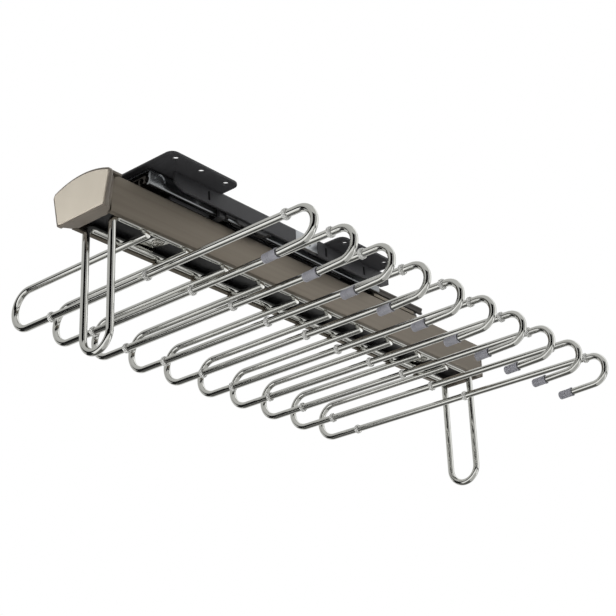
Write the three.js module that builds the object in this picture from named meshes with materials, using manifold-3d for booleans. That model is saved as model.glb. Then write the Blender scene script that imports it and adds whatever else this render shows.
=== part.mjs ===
// Pull-out trouser rack for the underside of a shelf.
// Two black steel brackets hold a flat ball-bearing slide; a bronze beam hangs from the slide
// and carries ten S-shaped chrome arms and two hanger loops.
// Millimetres. +Z up, -Y is the side it is pulled out to, and the arms open towards +X.
// Origin: middle of the front bracket's top face, which is screwed up against the shelf.

import * as THREE from 'three';
import { mergeVertices } from 'three/addons/utils/BufferGeometryUtils.js';
import Module from 'manifold-3d';

const wasm = await Module();
wasm.setup();

// Fits shared by all pieces
const seatGap = 0.3;
const runningGap = 1.0;
const overrun = 1.0;
const mergeTolerance = 1e-4;

// Shelf brackets
const sheet = 2.0;
const plateLength = 70.0;
const plateWidth = 100.0;
const plateCorner = 6.0;
const holeDiameter = 4.5;
const holePitch = 25.5;
const holeInset = 6.0;
const holesPerSide = 3;
const bracketSpacing = 188.5;
const channelWidth = 63.0;
const webDepth = 13.0;
const webChamferLength = 9.0;
const webChamferHeight = 4.5;
const webSlotWidth = 2.0;
const webSlotHeight = 8.0;
const webSlotDrop = 2.5;
const frontWebSlotBehind = 21.0;
const rearWebSlotAhead = 34.3;
const rearWebSlotPitch = 48.3;
const frontWebAhead = 13.5;
const frontWebBehind = 117.5;
const rearWebAhead = 44.5;
const rearWebBehind = 47.0;

// Zinc channel that joins the two brackets
const joinerSheet = 1.5;
const joinerHeight = 13.4;
const joinerLap = 14.0;
const joinerHoleDiameter = 3.0;
const joinerHoleDrop = 9.0;
const joinerHoleBehind = 16.0;

// Ball-bearing slide, lying flat
const slideWidth = 45.4;
const slideThickness = 12.7;
const slideAhead = 30.0;
const outerBehind = 45.5;
const innerLength = 330.0;
const middleOverhang = 1.0;
const slideSheet = 1.6;
const raceDepth = 0.7;
const raceMouth = 3.4;
const raceFloor = 1.8;
const slideLip = 1.2;
const middleDrop = 4.2;
const middleSheet = 1.2;
const middleWall = 3.0;
const middleFoot = 1.2;
const innerWall = 2.0;
const stageTravel = 170.0;

// Balls and their cages
const ballDiameter = 3.8;
const ballPlay = 0.1;
const ballSpacing = 36.0;
const ballsPerCage = 4;
const ballRings = 5;
const ballSegments = 8;
const cageThickness = 1.2;
const cageHeight = 5.0;
const cageEnd = 14.0;
const cageMargin = 3.0;

// Screws and washers
const screwShank = 3.6;
const screwHead = 7.0;
const screwHeadHeight = 1.3;
const screwSides = 12;
const screwFlange = 9.0;
const screwFlangeHeight = 0.5;
const slideScrewPitch = 44.0;
const frontScrewsBehind = 14.0;
const rearScrewsBehind = 1.5;
const shankShort = 0.4;

// Soft-close unit beside the slide
const damperAhead = 52.3;
const damperLength = 39.7;
const damperHang = 3.4;
const damperTop = 2.0;
const catchLength = 9.7;
const catchHeight = 8.0;
const catchShoulder = 2.2;
const triggerLength = 6.0;
const triggerSheet = 1.2;
const triggerFinger = 2.6;
const triggerHeight = 8.5;
const triggerSeat = 5.0;

// Beam: two side rails round a rectangular core tube
const beamGap = 4.3;
const beamWidth = 41.2;
const railSheet = 1.6;
const railTopLip = 6.0;
const beamAhead = 38.4;
const beamBehind = 48.0;
const coreHeight = 20.6;
const coreWall = 1.5;

// Spacers between the slide and the beam
const frontSpacerBack = 22.0;
const frontSpacerLength = 40.0;
const rearSpacerAhead = 71.0;
const rearSpacerLength = 55.0;

// End caps
const capDepth = 7.6;
const capFaceThickness = 2.4;
const capFaceInset = 0.7;
const capBottomWidth = 48.6;
const capTopWidth = 58.8;
const capCrownWidth = 56.0;
const capCrownRise = 5.5;
const capCrownSheet = 1.8;
const capCrownSteps = 12;
const capShoulderDrop = 3.1;
const capCornerDrop = 2.4;
const capRearWidthShare = 0.8;
const capTongue = 12.0;
const rearCapThickness = 2.5;

// Chrome wire
const wireDiameter = 5.5;
const wireSides = 12;
const wireSpacing = 27.0;
const frontLoopAhead = 31.0;
const rearLoopBehind = 38.0;
const loopDrop = 85.8;
const loopCorner = 7.0;
const cornerSteps = 4;
const halfTurnSteps = 8;

// Arms
const armCount = 10;
const armPitch = 40.0;
const firstArmAhead = 26.0;
const armLeftReach = 113.4;
const armRightReach = 157.3;
const leftBendRadius = 15.8;
const rightBendRadius = 12.0;
const armOverhang = 3.0;
const tipLegLength = 32.2;
const tipLegDroop = THREE.MathUtils.degToRad(2.6);
const tipCapLength = 12.0;
const tipCapWall = 0.9;
const tipCapEndWall = 3.0;
const tipCapBevel = 0.6;

// Cross plates welded on the long wires
const crossPlateThickness = 1.5;
const crossPlateLength = 15.0;
const frontCrossPlateBehind = 25.3;
const rearCrossPlateAhead = 12.6;
const crossPlateCorner = 2.0;

// Heights, from the shelf down
const wireRadius = wireDiameter / 2;
const slideTop = -sheet - seatGap;
const slideBottom = slideTop - slideThickness;
const middleTop = slideTop - middleDrop;
const middleBottom = slideBottom + slideSheet + middleFoot - slideLip / 2;
const raceZ = (middleTop - middleSheet - seatGap + middleBottom) / 2;
const innerTop = middleTop - middleSheet - seatGap;
const beamTop = slideBottom - beamGap;
const coreTop = beamTop - railSheet - seatGap;
const coreBottom = coreTop - coreHeight;
const crossPlateTop = coreBottom - seatGap;
const crossPlateBottom = crossPlateTop - crossPlateThickness;
const longWireZ = crossPlateBottom - seatGap - wireRadius;
const upperLegZ = longWireZ - wireDiameter - seatGap;
const railBottom = upperLegZ + wireRadius + seatGap;

// Places along the rack, front to back
const firstArmY = -firstArmAhead;
const lastArmY = firstArmY + (armCount - 1) * armPitch;
const slideFront = -slideAhead;
const beamFront = firstArmY - beamAhead;
const beamBack = lastArmY + beamBehind;
const beamLength = beamBack - beamFront;
const frontLoopY = firstArmY - frontLoopAhead;
const rearLoopY = lastArmY + rearLoopBehind;
const rearBracketY = bracketSpacing;
const outerLength = rearBracketY + outerBehind - slideFront;

// Half widths of the slide's members, from the outside in, and the middle member's length
const outerHalf = slideWidth / 2;
const outerFace = outerHalf - slideSheet - raceDepth;
const ballGap = ballDiameter + 2 * ballPlay - 2 * raceDepth;
const middleHalf = outerFace - ballGap;
const middleInside = middleHalf - middleWall;
const innerHalf = middleInside - ballGap;
const webInside = channelWidth / 2 - sheet;
const middleLength = innerLength + middleOverhang;

// Materials

function finish(color, roughness, metalness) {
  return new THREE.MeshStandardMaterial({ color, roughness, metalness });
}

const finishes = {
  blackSteel: finish(0x2b2b2d, 0.55, 0.3),
  zincSteel: finish(0xb9bcbf, 0.38, 0.9),
  darkSteel: finish(0x4a4744, 0.45, 0.8),
  bronze: finish(0x645d55, 0.42, 0.7),
  bronzePlastic: finish(0x6b645b, 0.5, 0.1),
  beigePlastic: finish(0xbeb6a8, 0.45, 0.1),
  blackPlastic: finish(0x1d1d1f, 0.5, 0.0),
  chrome: finish(0xe2e4e6, 0.08, 1.0),
  greyRubber: finish(0x77777c, 0.7, 0.0),
};

// Solids and booleans

function toSolid(geometry) {
  const bare = geometry.clone();
  bare.deleteAttribute('normal');
  bare.deleteAttribute('uv');
  const merged = mergeVertices(bare, mergeTolerance);
  return new wasm.Manifold(new wasm.Mesh({
    numProp: 3,
    vertProperties: Float32Array.from(merged.attributes.position.array),
    triVerts: Uint32Array.from(merged.index.array),
  }));
}

function toGeometry(solid) {
  const mesh = solid.getMesh();
  const geometry = new THREE.BufferGeometry();
  geometry.setAttribute('position', new THREE.BufferAttribute(mesh.vertProperties, 3));
  geometry.setIndex(new THREE.BufferAttribute(mesh.triVerts, 1));
  geometry.computeVertexNormals();
  return geometry;
}

function join(first, ...others) {
  return toGeometry(others.reduce((solid, other) => solid.add(toSolid(other)), toSolid(first)));
}

function cut(first, ...others) {
  return toGeometry(others.reduce((solid, other) => solid.subtract(toSolid(other)), toSolid(first)));
}

// Plain building shapes

function block(x, y, z) {
  const geometry = new THREE.BoxGeometry(x[1] - x[0], y[1] - y[0], z[1] - z[0]);
  return geometry.translate((x[0] + x[1]) / 2, (y[0] + y[1]) / 2, (z[0] + z[1]) / 2);
}

function between(a, b) {
  return [Math.min(a, b), Math.max(a, b)];
}

function shapeOf(points) {
  return new THREE.Shape(points.map(([a, b]) => new THREE.Vector2(a, b)));
}

// A section drawn in X and Z, drawn out along Y.
function alongY(shape, front, length) {
  const geometry = new THREE.ExtrudeGeometry(shape, { depth: length, bevelEnabled: false });
  return geometry.rotateX(Math.PI / 2).translate(0, front + length, 0);
}

// A section drawn in Y and Z, drawn out along X.
function acrossX(shape, start, length) {
  const geometry = new THREE.ExtrudeGeometry(shape, { depth: length, bevelEnabled: false });
  return geometry.rotateX(Math.PI / 2).rotateZ(Math.PI / 2).translate(start, 0, 0);
}

// A section's right half, mirrored to the left.
function mirrored(rightHalf) {
  const leftHalf = rightHalf.filter(([x]) => x !== 0).map(([x, z]) => [-x, z]).reverse();
  return shapeOf([...rightHalf, ...leftHalf]);
}

function roundedRectangle(halfX, front, back, corner) {
  const shape = new THREE.Shape();
  shape.absarc(halfX - corner, back - corner, corner, 0, Math.PI / 2);
  shape.absarc(-halfX + corner, back - corner, corner, Math.PI / 2, Math.PI);
  shape.absarc(-halfX + corner, front + corner, corner, Math.PI, 1.5 * Math.PI);
  shape.absarc(halfX - corner, front + corner, corner, 1.5 * Math.PI, 2 * Math.PI);
  return shape;
}

function upright(shape, bottom, height, curveSegments = cornerSteps) {
  const geometry = new THREE.ExtrudeGeometry(shape, { depth: height, bevelEnabled: false, curveSegments });
  return geometry.translate(0, 0, bottom);
}

// A turned piece, its axis along Z, from rows of radius and height.
function turned(rows, sides = screwSides) {
  const points = rows.map(([radius, z]) => new THREE.Vector2(radius, z));
  return new THREE.LatheGeometry(points, sides).rotateX(Math.PI / 2);
}

function drill(x, y, bottom, top, radius) {
  const rows = [[0, bottom], [radius, bottom], [radius, top], [0, top]];
  return turned(rows).translate(x, y, 0);
}

// Bent wire

// A wire as a bender makes it: straight runs and bends, one after another.
class BentWire extends THREE.Curve {
  constructor(start, direction) {
    super();
    this.here = start.clone();
    this.heading = direction.clone();
    this.stations = [{ point: start.clone(), tangent: direction.clone() }];
  }

  mark() {
    this.stations.push({ point: this.here.clone(), tangent: this.heading.clone() });
  }

  straight(length) {
    this.here.addScaledVector(this.heading, length);
    this.mark();
    return this;
  }

  bend(radius, angle, axis, steps) {
    const centre = new THREE.Vector3().crossVectors(axis, this.heading).setLength(radius).add(this.here);
    for (let step = 0; step < steps; step += 1) {
      this.here.sub(centre).applyAxisAngle(axis, angle / steps).add(centre);
      this.heading.applyAxisAngle(axis, angle / steps).normalize();
      this.mark();
    }
    return this;
  }

  at(share) {
    return this.stations[Math.round(share * (this.stations.length - 1))];
  }

  getPointAt(share) {
    return this.at(share).point.clone();
  }

  getTangentAt(share) {
    return this.at(share).tangent.clone();
  }
}

// The wire's flats, not its corners, lie at the wire's radius.
function wireSection() {
  const corner = wireRadius / Math.cos(Math.PI / wireSides);
  const points = [];
  for (let side = 0; side < wireSides; side += 1) {
    const turn = (side + 0.5) * 2 * Math.PI / wireSides;
    points.push([corner * Math.cos(turn), corner * Math.sin(turn)]);
  }
  return shapeOf(points);
}

function drawnWire(path) {
  const steps = path.stations.length - 1;
  return new THREE.ExtrudeGeometry(wireSection(), { steps, extrudePath: path });
}

const right = new THREE.Vector3(1, 0, 0);
const left = new THREE.Vector3(-1, 0, 0);
const back = new THREE.Vector3(0, 1, 0);
const forward = new THREE.Vector3(0, -1, 0);
const down = new THREE.Vector3(0, 0, -1);

// The rack and its pieces

const rack = new THREE.Group();

function add(name, geometry, material, group = rack) {
  const mesh = new THREE.Mesh(geometry, material);
  mesh.name = name;
  group.add(mesh);
  return mesh;
}

// A web's outline in Y and Z, one lower corner cut off.
function webOutline(front, rear, chamferAtFront) {
  const low = -sheet - webDepth;
  const high = -sheet / 2;
  const short = low + webChamferHeight;
  if (chamferAtFront) {
    const chamferEnd = front + webChamferLength;
    return shapeOf([[front, short], [chamferEnd, low], [rear, low], [rear, high], [front, high]]);
  }
  const chamferStart = rear - webChamferLength;
  return shapeOf([[front, low], [chamferStart, low], [rear, short], [rear, high], [front, high]]);
}

// Shelf brackets: a top panel with two drilled flanges and two webs folded down.
function bracket(middleY, webAhead, webBehind, chamferAtFront, slotYs) {
  const flangeFront = middleY - plateLength / 2;
  const flangeBack = middleY + plateLength / 2;
  const webFront = middleY - webAhead;
  const webBack = middleY + webBehind;
  const panelFront = Math.min(flangeFront, webFront);
  const half = channelWidth / 2;
  const plate = roundedRectangle(plateWidth / 2, flangeFront, flangeBack, plateCorner);
  const flanges = upright(plate, -sheet, sheet);
  const panel = block([-half, half], [panelFront + plateCorner, webBack], [-sheet, 0]);
  const outline = webOutline(webFront, webBack, chamferAtFront);
  const webs = [-half, webInside].map((x) => acrossX(outline, x, sheet));
  const holes = [];
  for (let row = 0; row < holesPerSide; row += 1) {
    const y = middleY + (row - (holesPerSide - 1) / 2) * holePitch;
    for (const side of [-1, 1]) {
      const x = side * (plateWidth / 2 - holeInset);
      holes.push(drill(x, y, -sheet - overrun, overrun, holeDiameter / 2));
    }
  }
  const slotTop = -sheet - webSlotDrop;
  const slots = slotYs.map((y) => block(
    [-half - overrun, half + overrun],
    [y - webSlotWidth / 2, y + webSlotWidth / 2],
    [slotTop - webSlotHeight, slotTop],
  ));
  return cut(join(flanges, panel, ...webs), ...holes, ...slots);
}

const slideScrewYs = [
  frontScrewsBehind - slideScrewPitch / 2,
  frontScrewsBehind + slideScrewPitch / 2,
  rearBracketY + rearScrewsBehind - slideScrewPitch / 2,
  rearBracketY + rearScrewsBehind + slideScrewPitch / 2,
];

function slideScrewHoles() {
  const radius = screwShank / 2 + seatGap;
  return slideScrewYs.map((y) => drill(0, y, slideBottom - overrun, overrun, radius));
}

function slideScrew(y) {
  const seat = slideTop - slideSheet - seatGap;
  return turned([
    [0, seat - screwHeadHeight],
    [screwHead / 2, seat - screwHeadHeight],
    [screwHead / 2, seat],
    [screwShank / 2, seat],
    [screwShank / 2, -shankShort],
    [0, -shankShort],
  ]).translate(0, y, 0);
}

// A channel flush with the brackets, whose sides lap inside their webs.
function joinerChannel() {
  const half = channelWidth / 2;
  const outside = webInside - seatGap;
  const inside = outside - joinerSheet;
  const front = frontWebBehind + seatGap;
  const rear = rearBracketY - rearWebAhead - seatGap;
  const low = -joinerHeight;
  const sides = [-1, 1].flatMap((side) => [
    block(between(side * inside, side * half), [front, rear], [low, 0]),
    block(between(side * inside, side * outside), [front - joinerLap, rear + joinerLap], [low, slideTop]),
  ]);
  const hole = turned([
    [0, -half - overrun],
    [joinerHoleDiameter / 2, -half - overrun],
    [joinerHoleDiameter / 2, half + overrun],
    [0, half + overrun],
  ]).rotateY(Math.PI / 2).translate(0, front + joinerHoleBehind, -joinerHoleDrop);
  return cut(join(block([-half, half], [front, rear], [-sheet, 0]), ...sides), hole);
}

// Slide: a wide outer member, a middle member inside it and a narrow inner member.
function outerMember() {
  const lip = outerFace - slideLip;
  const section = mirrored([
    [0, slideTop],
    [outerHalf, slideTop],
    [outerHalf, slideBottom],
    [lip, slideBottom],
    [lip, slideBottom + slideSheet],
    [outerFace, slideBottom + slideSheet],
    [outerFace, raceZ - raceMouth / 2],
    [outerFace + raceDepth, raceZ - raceFloor / 2],
    [outerFace + raceDepth, raceZ + raceFloor / 2],
    [outerFace, raceZ + raceMouth / 2],
    [outerFace, slideTop - slideSheet],
    [0, slideTop - slideSheet],
  ].reverse());
  return cut(alongY(section, slideFront, outerLength), ...slideScrewHoles());
}

function middleMember() {
  const section = mirrored([
    [0, middleTop],
    [middleHalf, middleTop],
    [middleHalf, raceZ + raceMouth / 2],
    [middleHalf - raceDepth, raceZ + raceFloor / 2],
    [middleHalf - raceDepth, raceZ - raceFloor / 2],
    [middleHalf, raceZ - raceMouth / 2],
    [middleHalf, middleBottom],
    [middleInside, middleBottom],
    [middleInside, raceZ - raceMouth / 2],
    [middleInside + raceDepth, raceZ - raceFloor / 2],
    [middleInside + raceDepth, raceZ + raceFloor / 2],
    [middleInside, raceZ + raceMouth / 2],
    [middleInside, middleTop - middleSheet],
    [0, middleTop - middleSheet],
  ].reverse());
  return alongY(section, slideFront, middleLength);
}

function innerMember() {
  const inside = innerHalf - innerWall;
  const section = mirrored([
    [0, slideBottom],
    [innerHalf, slideBottom],
    [innerHalf, raceZ - raceMouth / 2],
    [innerHalf - raceDepth, raceZ - raceFloor / 2],
    [innerHalf - raceDepth, raceZ + raceFloor / 2],
    [innerHalf, raceZ + raceMouth / 2],
    [innerHalf, innerTop],
    [inside, innerTop],
    [inside, slideBottom + slideSheet],
    [0, slideBottom + slideSheet],
  ]);
  return cut(alongY(section, slideFront, innerLength), ...spacerScrewHoles());
}

// A cage: a thin strip that keeps a row of balls apart.
function ballCage(side, face) {
  const x = side * (face - ballGap / 2);
  const front = slideFront + stageTravel / 2 + cageMargin;
  const length = 2 * cageEnd + (ballsPerCage - 1) * ballSpacing;
  const strip = block(
    [x - cageThickness / 2, x + cageThickness / 2],
    [front, front + length],
    [raceZ - cageHeight / 2, raceZ + cageHeight / 2],
  );
  const balls = [];
  for (let index = 0; index < ballsPerCage; index += 1) {
    const ball = new THREE.SphereGeometry(ballDiameter / 2, ballSegments, ballRings);
    balls.push(ball.translate(x, front + cageEnd + index * ballSpacing, raceZ));
  }
  return join(strip, ...balls);
}

// Soft-close unit: housing and catch stay with the bracket, the trigger rides on the beam.
const damperInside = outerHalf + seatGap;
const damperOutside = webInside - seatGap;
const catchFront = damperAhead - catchLength - seatGap;

function softCloseHousing() {
  const top = slideTop - damperTop;
  const bottom = slideBottom - damperHang;
  return block([damperInside, damperOutside], [damperAhead, damperAhead + damperLength], [bottom, top]);
}

function softCloseCatch() {
  const bottom = slideBottom - damperHang + catchShoulder;
  const height = [bottom, bottom + catchHeight];
  return block([damperInside, damperOutside], [catchFront, damperAhead - seatGap], height);
}

function softCloseTrigger() {
  const rear = catchFront - seatGap;
  const front = rear - triggerLength;
  const seat = beamTop + seatGap;
  const middleX = (damperInside + damperOutside) / 2;
  const foot = block([beamWidth / 2 - triggerSeat, middleX], [front, rear], [seat, seat + triggerSheet]);
  const fingerX = [middleX - triggerFinger / 2, middleX + triggerFinger / 2];
  const finger = block(fingerX, [front, rear], [seat, seat + triggerHeight]);
  return join(foot, finger);
}

// Spacers hang the beam from the inner member.
const spacers = {
  front: {
    front: slideFront + frontSpacerBack,
    length: frontSpacerLength,
    finish: finishes.blackPlastic,
  },
  rear: {
    front: slideFront + innerLength - rearSpacerAhead,
    length: rearSpacerLength,
    finish: finishes.bronze,
  },
};

function spacerMiddle({ front, length }) {
  return front + length / 2;
}

function spacerScrewHoles() {
  const radius = screwShank / 2 + seatGap;
  return Object.values(spacers).map((spacer) => (
    drill(0, spacerMiddle(spacer), coreTop - coreWall - overrun, slideBottom + slideSheet + overrun, radius)
  ));
}

function spacer(place) {
  const pad = slideBottom - seatGap;
  const shoulder = slideBottom - runningGap;
  const section = mirrored([
    [0, beamTop + seatGap],
    [beamWidth / 2, beamTop + seatGap],
    [beamWidth / 2, shoulder],
    [innerHalf, shoulder],
    [innerHalf, pad],
    [0, pad],
  ]);
  return cut(alongY(section, place.front, place.length), ...spacerScrewHoles());
}

function spacerScrew(place) {
  const seat = slideBottom + slideSheet + seatGap;
  return turned([
    [0, coreTop - coreWall],
    [screwShank / 2, coreTop - coreWall],
    [screwShank / 2, seat],
    [screwHead / 2, seat],
    [screwHead / 2, seat + screwHeadHeight],
    [0, seat + screwHeadHeight],
  ]).translate(0, spacerMiddle(place), 0);
}

// Beam core: a rectangular tube between the rails.
const coreHalf = beamWidth / 2 - railSheet - seatGap;

function beamCore() {
  const section = shapeOf([
    [-coreHalf, coreBottom], [coreHalf, coreBottom], [coreHalf, coreTop], [-coreHalf, coreTop],
  ]);
  const insideX = coreHalf - coreWall;
  const low = coreBottom + coreWall;
  const high = coreTop - coreWall;
  section.holes.push(shapeOf([[-insideX, low], [-insideX, high], [insideX, high], [insideX, low]]));
  return cut(alongY(section, beamFront, beamLength), ...spacerScrewHoles(), ...crossScrewHoles());
}

// A side rail: upright face, a lip over the core and a lip beside the long wire.
function sideRail(side) {
  const face = beamWidth / 2;
  const topLip = face - railTopLip;
  const bottomLip = wireSpacing / 2 + wireRadius + seatGap;
  const points = [
    [topLip, beamTop],
    [face, beamTop],
    [face, railBottom],
    [bottomLip, railBottom],
    [bottomLip, railBottom + railSheet],
    [face - railSheet, railBottom + railSheet],
    [face - railSheet, beamTop - railSheet],
    [topLip, beamTop - railSheet],
  ].map(([x, z]) => [side * x, z]);
  return alongY(shapeOf(side > 0 ? points.reverse() : points), beamFront, beamLength);
}

// Front cap: wider at the top, with an arched crown.
const capFront = beamFront - seatGap - capDepth;

const capShoulder = beamTop - capShoulderDrop;
const capCorner = capShoulder - capCornerDrop;

// The crown's arc from right to left, drawn in and lowered by an inset.
function crownArc(inset) {
  const half = capCrownWidth / 2;
  const radius = (half * half + capCrownRise * capCrownRise) / (2 * capCrownRise);
  const centre = capShoulder + capCrownRise - radius;
  const sweep = Math.asin(half / radius);
  const points = [];
  for (let step = 0; step <= capCrownSteps; step += 1) {
    const turn = sweep * (1 - 2 * step / capCrownSteps);
    points.push([(radius - inset) * Math.sin(turn), centre + (radius - inset) * Math.cos(turn)]);
  }
  return points;
}

function capOutline(inset) {
  const bottomHalf = capBottomWidth / 2 - inset;
  const topHalf = capTopWidth / 2 - inset;
  const low = railBottom + inset;
  return shapeOf([
    [-topHalf, capCorner], [-bottomHalf, low], [bottomHalf, low], [topHalf, capCorner],
    ...crownArc(inset),
  ]);
}

// The cap narrows towards the beam under a crown that runs straight back.
function capBody() {
  const shell = alongY(capOutline(0), capFront, capDepth);
  const place = shell.attributes.position;
  for (let index = 0; index < place.count; index += 1) {
    if (place.getY(index) > capFront + capDepth / 2) {
      place.setX(index, place.getX(index) * capRearWidthShare);
    }
  }
  const crownSection = shapeOf([...crownArc(0), ...crownArc(capCrownSheet).reverse()]);
  const crown = alongY(crownSection, capFront, capDepth);
  return join(shell, crown, tongue(capFront + capDepth / 2, beamFront + capTongue));
}

// The tongue that plugs an end of the core tube.
function tongue(front, rear) {
  const half = coreHalf - coreWall - seatGap;
  const fit = coreWall + seatGap;
  return block([-half, half], [front, rear], [coreBottom + fit, coreTop - fit]);
}

function capFace() {
  return alongY(capOutline(capFaceInset), capFront - seatGap - capFaceThickness, capFaceThickness);
}

function rearCap() {
  const half = beamWidth / 2;
  const front = beamBack + seatGap;
  const plate = block([-half, half], [front, front + rearCapThickness], [railBottom, beamTop]);
  return join(plate, tongue(beamBack - capTongue, front + rearCapThickness / 2));
}

// The long wires and both hanger loops are one wire, butted in the middle of the left run.
function wireFrame() {
  const half = wireSpacing / 2;
  const quarter = Math.PI / 2;
  const buttY = (frontLoopY + rearLoopY) / 2;
  const leg = loopDrop - loopCorner;
  const run = rearLoopY - frontLoopY - 2 * loopCorner;
  const frontRun = buttY - seatGap / 2 - frontLoopY - loopCorner;
  const path = new BentWire(new THREE.Vector3(-half, buttY - seatGap / 2, longWireZ), forward);
  path.straight(frontRun).bend(loopCorner, quarter, right, cornerSteps);
  path.straight(leg).bend(half, Math.PI, forward, halfTurnSteps);
  path.straight(leg).bend(loopCorner, quarter, left, cornerSteps);
  path.straight(run).bend(loopCorner, quarter, left, cornerSteps);
  path.straight(leg).bend(half, Math.PI, back, halfTurnSteps);
  path.straight(leg).bend(loopCorner, quarter, right, cornerSteps);
  path.straight(run - frontRun - seatGap);
  return drawnWire(path);
}

// An arm: upper leg under the long wires, left bend, long bar, right bend, tip leg.
function armPath(y) {
  const start = new THREE.Vector3(wireSpacing / 2 + armOverhang, y, upperLegZ);
  const path = new BentWire(start, left);
  path.straight(start.x + armLeftReach).bend(leftBendRadius, Math.PI, forward, halfTurnSteps);
  path.straight(armLeftReach + armRightReach);
  path.bend(rightBendRadius, Math.PI - tipLegDroop, back, halfTurnSteps);
  path.straight(tipLegLength - tipCapEndWall - seatGap);
  return path;
}

// A rubber cap, closed at the end and bored for the wire.
function tipCap(path) {
  const bore = wireRadius + seatGap;
  const outside = wireRadius + tipCapWall;
  const cap = turned([
    [0, 0],
    [outside - tipCapBevel, 0],
    [outside, tipCapBevel],
    [outside, tipCapLength],
    [bore, tipCapLength],
    [bore, tipCapEndWall],
    [0, tipCapEndWall],
  ], wireSides);
  const end = path.stations.at(-1);
  const turn = new THREE.Quaternion().setFromUnitVectors(new THREE.Vector3(0, 0, -1), end.tangent);
  const tip = end.point.clone().addScaledVector(end.tangent, seatGap + tipCapEndWall);
  return cap.applyQuaternion(turn).translate(tip.x, tip.y, tip.z);
}

// Cross plates, each held up to the core tube by a screw with a flanged head.
const crossPlateYs = {
  front: firstArmY + frontCrossPlateBehind,
  rear: lastArmY - rearCrossPlateAhead,
};

function crossScrewHoles() {
  const radius = screwShank / 2 + seatGap;
  return Object.values(crossPlateYs).map((y) => (
    drill(0, y, crossPlateBottom - overrun, coreBottom + coreWall + overrun, radius)
  ));
}

function crossPlate(y) {
  const half = wireSpacing / 2 + wireRadius;
  const front = y - crossPlateLength / 2;
  const outline = roundedRectangle(half, front, front + crossPlateLength, crossPlateCorner);
  return cut(upright(outline, crossPlateBottom, crossPlateThickness), ...crossScrewHoles());
}

function crossScrew(y) {
  const seat = crossPlateBottom - seatGap;
  const flange = seat - screwFlangeHeight;
  return turned([
    [0, flange - screwHeadHeight],
    [screwHead / 2, flange - screwHeadHeight],
    [screwHead / 2, flange],
    [screwFlange / 2, flange],
    [screwFlange / 2, seat],
    [screwShank / 2, seat],
    [screwShank / 2, coreBottom + coreWall],
    [0, coreBottom + coreWall],
  ]).translate(0, y, 0);
}

// Fixed pieces
const rearWebSlots = [0, 1].map((step) => rearBracketY - rearWebSlotAhead + step * rearWebSlotPitch);
const frontBracket = bracket(0, frontWebAhead, frontWebBehind, true, [frontWebSlotBehind]);
const rearBracket = bracket(rearBracketY, rearWebAhead, rearWebBehind, false, rearWebSlots);
add('front_bracket', cut(frontBracket, ...slideScrewHoles()), finishes.blackSteel);
add('rear_bracket', cut(rearBracket, ...slideScrewHoles()), finishes.blackSteel);
add('joiner_channel', joinerChannel(), finishes.zincSteel);
add('slide_outer_member', outerMember(), finishes.zincSteel);
slideScrewYs.forEach((y, index) => add(`slide_screw_${index + 1}`, slideScrew(y), finishes.zincSteel));
add('soft_close_housing', softCloseHousing(), finishes.blackPlastic);
add('soft_close_catch', softCloseCatch(), finishes.blackPlastic);

// Slide members and cages
add('slide_middle_member', middleMember(), finishes.darkSteel);
add('slide_inner_member', innerMember(), finishes.darkSteel);
for (const [word, side] of [['right', 1], ['left', -1]]) {
  add(`outer_ball_cage_${word}`, ballCage(side, outerFace), finishes.zincSteel);
  add(`inner_ball_cage_${word}`, ballCage(side, middleInside), finishes.zincSteel);
}

// Beam
for (const [word, place] of Object.entries(spacers)) {
  add(`${word}_spacer`, spacer(place), place.finish);
  add(`${word}_spacer_screw`, spacerScrew(place), finishes.zincSteel);
}
add('beam_core', beamCore(), finishes.blackSteel);
add('side_rail_right', sideRail(1), finishes.bronze);
add('side_rail_left', sideRail(-1), finishes.bronze);
add('front_cap_body', capBody(), finishes.bronzePlastic);
add('front_cap_face', capFace(), finishes.beigePlastic);
add('rear_cap', rearCap(), finishes.bronzePlastic);
add('soft_close_trigger', softCloseTrigger(), finishes.blackPlastic);

// Chrome wires
add('wire_frame', wireFrame(), finishes.chrome);
for (const [word, y] of Object.entries(crossPlateYs)) {
  add(`${word}_cross_plate`, crossPlate(y), finishes.chrome);
  add(`${word}_cross_screw`, crossScrew(y), finishes.zincSteel);
}
for (let index = 0; index < armCount; index += 1) {
  const path = armPath(firstArmY + index * armPitch);
  const number = String(index + 1).padStart(2, '0');
  add(`arm_${number}`, drawnWire(path), finishes.chrome);
  add(`tip_cap_${number}`, tipCap(path), finishes.greyRubber);
}

export default rack;
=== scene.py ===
"""Looks of the pull-out trouser rack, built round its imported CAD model.

Two black steel brackets hang the rack from the underside of a shelf. A ball-bearing slide lies
flat between them, and a bronze beam hangs from the slide with ten chrome arms and two loops.
Sizes are in millimetres and meshes in metres, in the frame of the CAD model: X across, Y along
the rack towards its rear, Z up, with the shelf's face at Z 0.
"""

import sys
import logging
import math
from collections.abc import Callable, Iterator, Sequence
from contextlib import contextmanager
from dataclasses import dataclass, replace
from enum import Enum
from functools import cache
from itertools import pairwise, product
from typing import Any

import bmesh
import bpy
from mathutils import Matrix, Quaternion, Vector


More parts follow.
